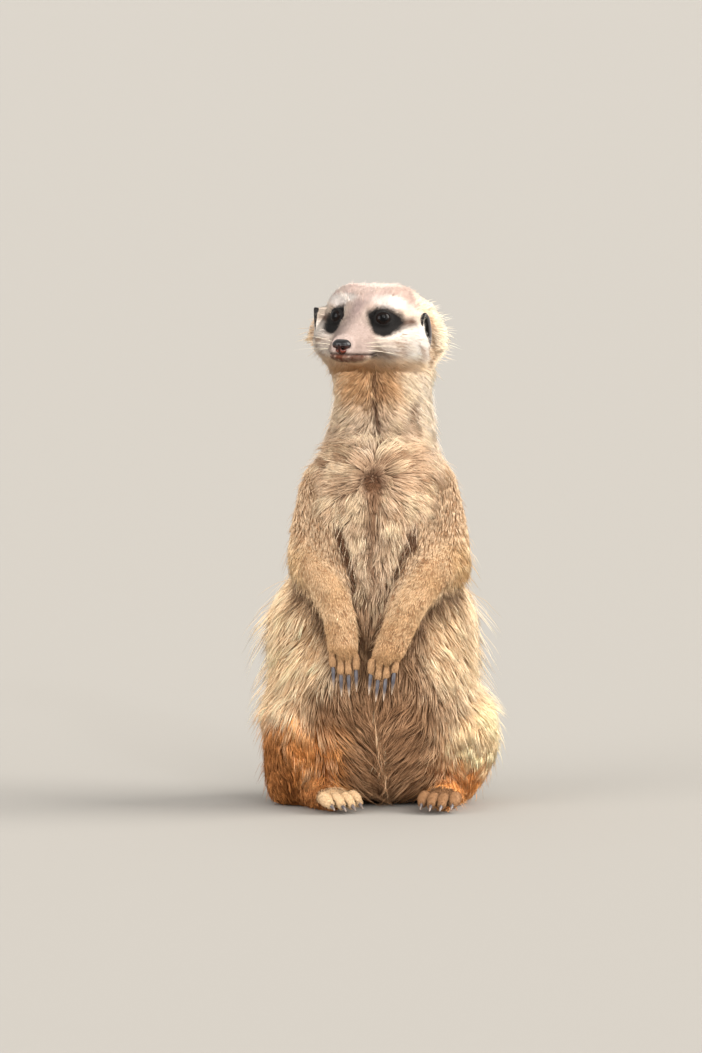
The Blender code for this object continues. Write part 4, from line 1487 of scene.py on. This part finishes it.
def make_claws(paw):
    """A paw's four curved claws, slate with paler tips and faint streaks along them."""
    parts = []
    names = [f"claw_{paw}_{number}" for number in range(1, 5)]
    hand = paw.startswith("hand")
    for name in names:
        root, tip = claw_ends(name)
        tip = root + (tip - root) * (0.88 if hand else 1.0)
        length = np.linalg.norm(tip - root)
        steps = np.linspace(0, 1, 13)
        arch = np.array((0, -1.0, 0)) if hand else np.array((0, 0, 1.0))
        line = root + steps[:, None] * (tip - root)
        line = line + arch * (np.sin(steps * math.pi) * length * 0.05)[:, None]
        line[0] -= unit(tip - root) * 1.2
        radii = CLAW_RADIUS * (1 - steps**2.1 * 0.84) * (1 - 0.15 * bump(steps, 0, 0.1))
        p, f = tube(line, radii, 12, 0.78)
        along = np.append(np.repeat(steps, 12), (0, 1))
        slate, ivory = rgb(82, 79, 85), rgb(206, 180, 154)
        shade = mix(slate, ivory, ramp(along, 0.45, 1.0) * (1.0 if hand else 0.35))
        shade = shade * (1 + 0.25 * wavy(p * np.array((1, 1, 0.25)), 2.2, 8))[:, None]
        shade = mix(shade, rgb(60, 46, 40), ramp(along, 0.12, 0.0))
        parts.append((p, f, shade))
    points, faces, shades = joined(parts)
    piece = new_piece(f"claws_{paw}", points, faces, claw_material, shades)
    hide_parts(*names)


def make_whiskers():
    """The whiskers beside the nose and the few long hairs of the brows."""
    parts = []
    for sign in (-1, 1):
        for number, (a, s, u) in enumerate(WHISKER_ROOTS):
            length = 17 + 3.0 * (number % 4) + rng.uniform(-3, 4)
            root = np.array((a - 0.3, sign * (s - 0.3), u))
            way = unit(np.array((-0.35 + 0.1 * (number % 4), sign * 1.0, -0.12 + 0.13 * (3 - number / 3.5))))
            parts.append(hair(root, way, length, -0.10, 0.10))
        for number in range(3):
            root = np.array((13.0 - 2 * number, sign * (8.0 + 2.5 * number), 12.5 + 0.6 * number))
            way = unit(np.array((0.2, sign * 0.35, 1.0)))
            parts.append(hair(root, way, 8.0 + 2 * number, -0.25, 0.09))
    points, faces, shades = joined(parts)
    new_piece("whiskers", points, faces, whisker_material, shades)


def hair(root, way, length, sag, radius):
    """One long hair, from places in the head's axes. It bends back as it goes."""
    steps = np.linspace(0, 1, 10)
    line = root + way * (steps * length)[:, None] + np.array((0, 0, 1.0)) * (steps**2 * length * sag)[:, None]
    line = line + np.array((-1.0, 0, 0)) * (steps**2 * length * 0.12)[:, None]
    p, f = tube(from_head(line), radius * (1.0 - 0.85 * steps), 5)
    return p, f, np.tile(rgb(240, 228, 206), (len(p), 1))


for side in SIDES:
    make_eye(side)
    make_ear(side)
make_nose()
for paw in DIGITS_POINT:
    make_claws(paw)
make_whiskers()


# ================================================================ floor, lights, camera
def make_floor():
    mesh = bpy.data.meshes.new("floor")
    work = bmesh.new()
    bmesh.ops.create_circle(work, cap_ends=True, segments=96, radius=60.0)
    work.to_mesh(mesh)
    work.free()
    material, _, shader = new_material("floor")
    set_inputs(shader, Base_Color=(0.34, 0.32, 0.292, 1), Roughness=0.9)
    mesh.materials.append(material)
    put("floor", mesh)


def make_sun(name, way, strength, width, tone):
    """A soft distant lamp that shines from that way."""
    data = bpy.data.lights.new(name, "SUN")
    data.energy = strength
    data.angle = math.radians(width)
    data.color = tone
    lamp = put(name, data)
    lamp.location = Vector(way)
    lamp.rotation_euler = (-Vector(way)).to_track_quat("-Z", "Y").to_euler()


def make_camera():
    tilt = math.radians(CAMERA_HEIGHT_ANGLE)
    aim = Vector(CAMERA_AIM) * MM
    data = bpy.data.cameras.new("camera")
    data.sensor_width = SENSOR
    data.lens = SENSOR * CAMERA_DISTANCE / VIEW_HEIGHT
    data.clip_end = 200
    camera = put("camera", data)
    camera.location = aim + Vector((0, -math.cos(tilt), math.sin(tilt))) * CAMERA_DISTANCE * MM
    camera.rotation_euler = (aim - camera.location).to_track_quat("-Z", "Y").to_euler()
    bpy.context.scene.camera = camera


make_floor()
make_sun("rim", (1.0, -0.05, 0.60), 4.0, 44, (1.0, 0.97, 0.92))
make_sun("front", (0.25, -1.0, 0.75), 1.0, 34, (1.0, 0.97, 0.93))
make_sun("side", (1.0, -0.75, 0.20), 1.1, 50, (1.0, 0.98, 0.95))
make_sun("glint", (0.33, -0.88, 0.42), 0.25, 4, (0.85, 0.93, 1.0))
make_sun("fill", (-1.0, -0.8, 0.30), 2.4, 50, (1.0, 0.98, 0.96))
world = bpy.data.worlds.new("studio")
world.use_nodes = True
set_inputs(world.node_tree.nodes["Background"], Color=(1.0, 0.98, 0.95, 1), Strength=0.82)
bpy.context.scene.world = world
bpy.context.scene.view_settings.view_transform = "Standard"
make_camera()
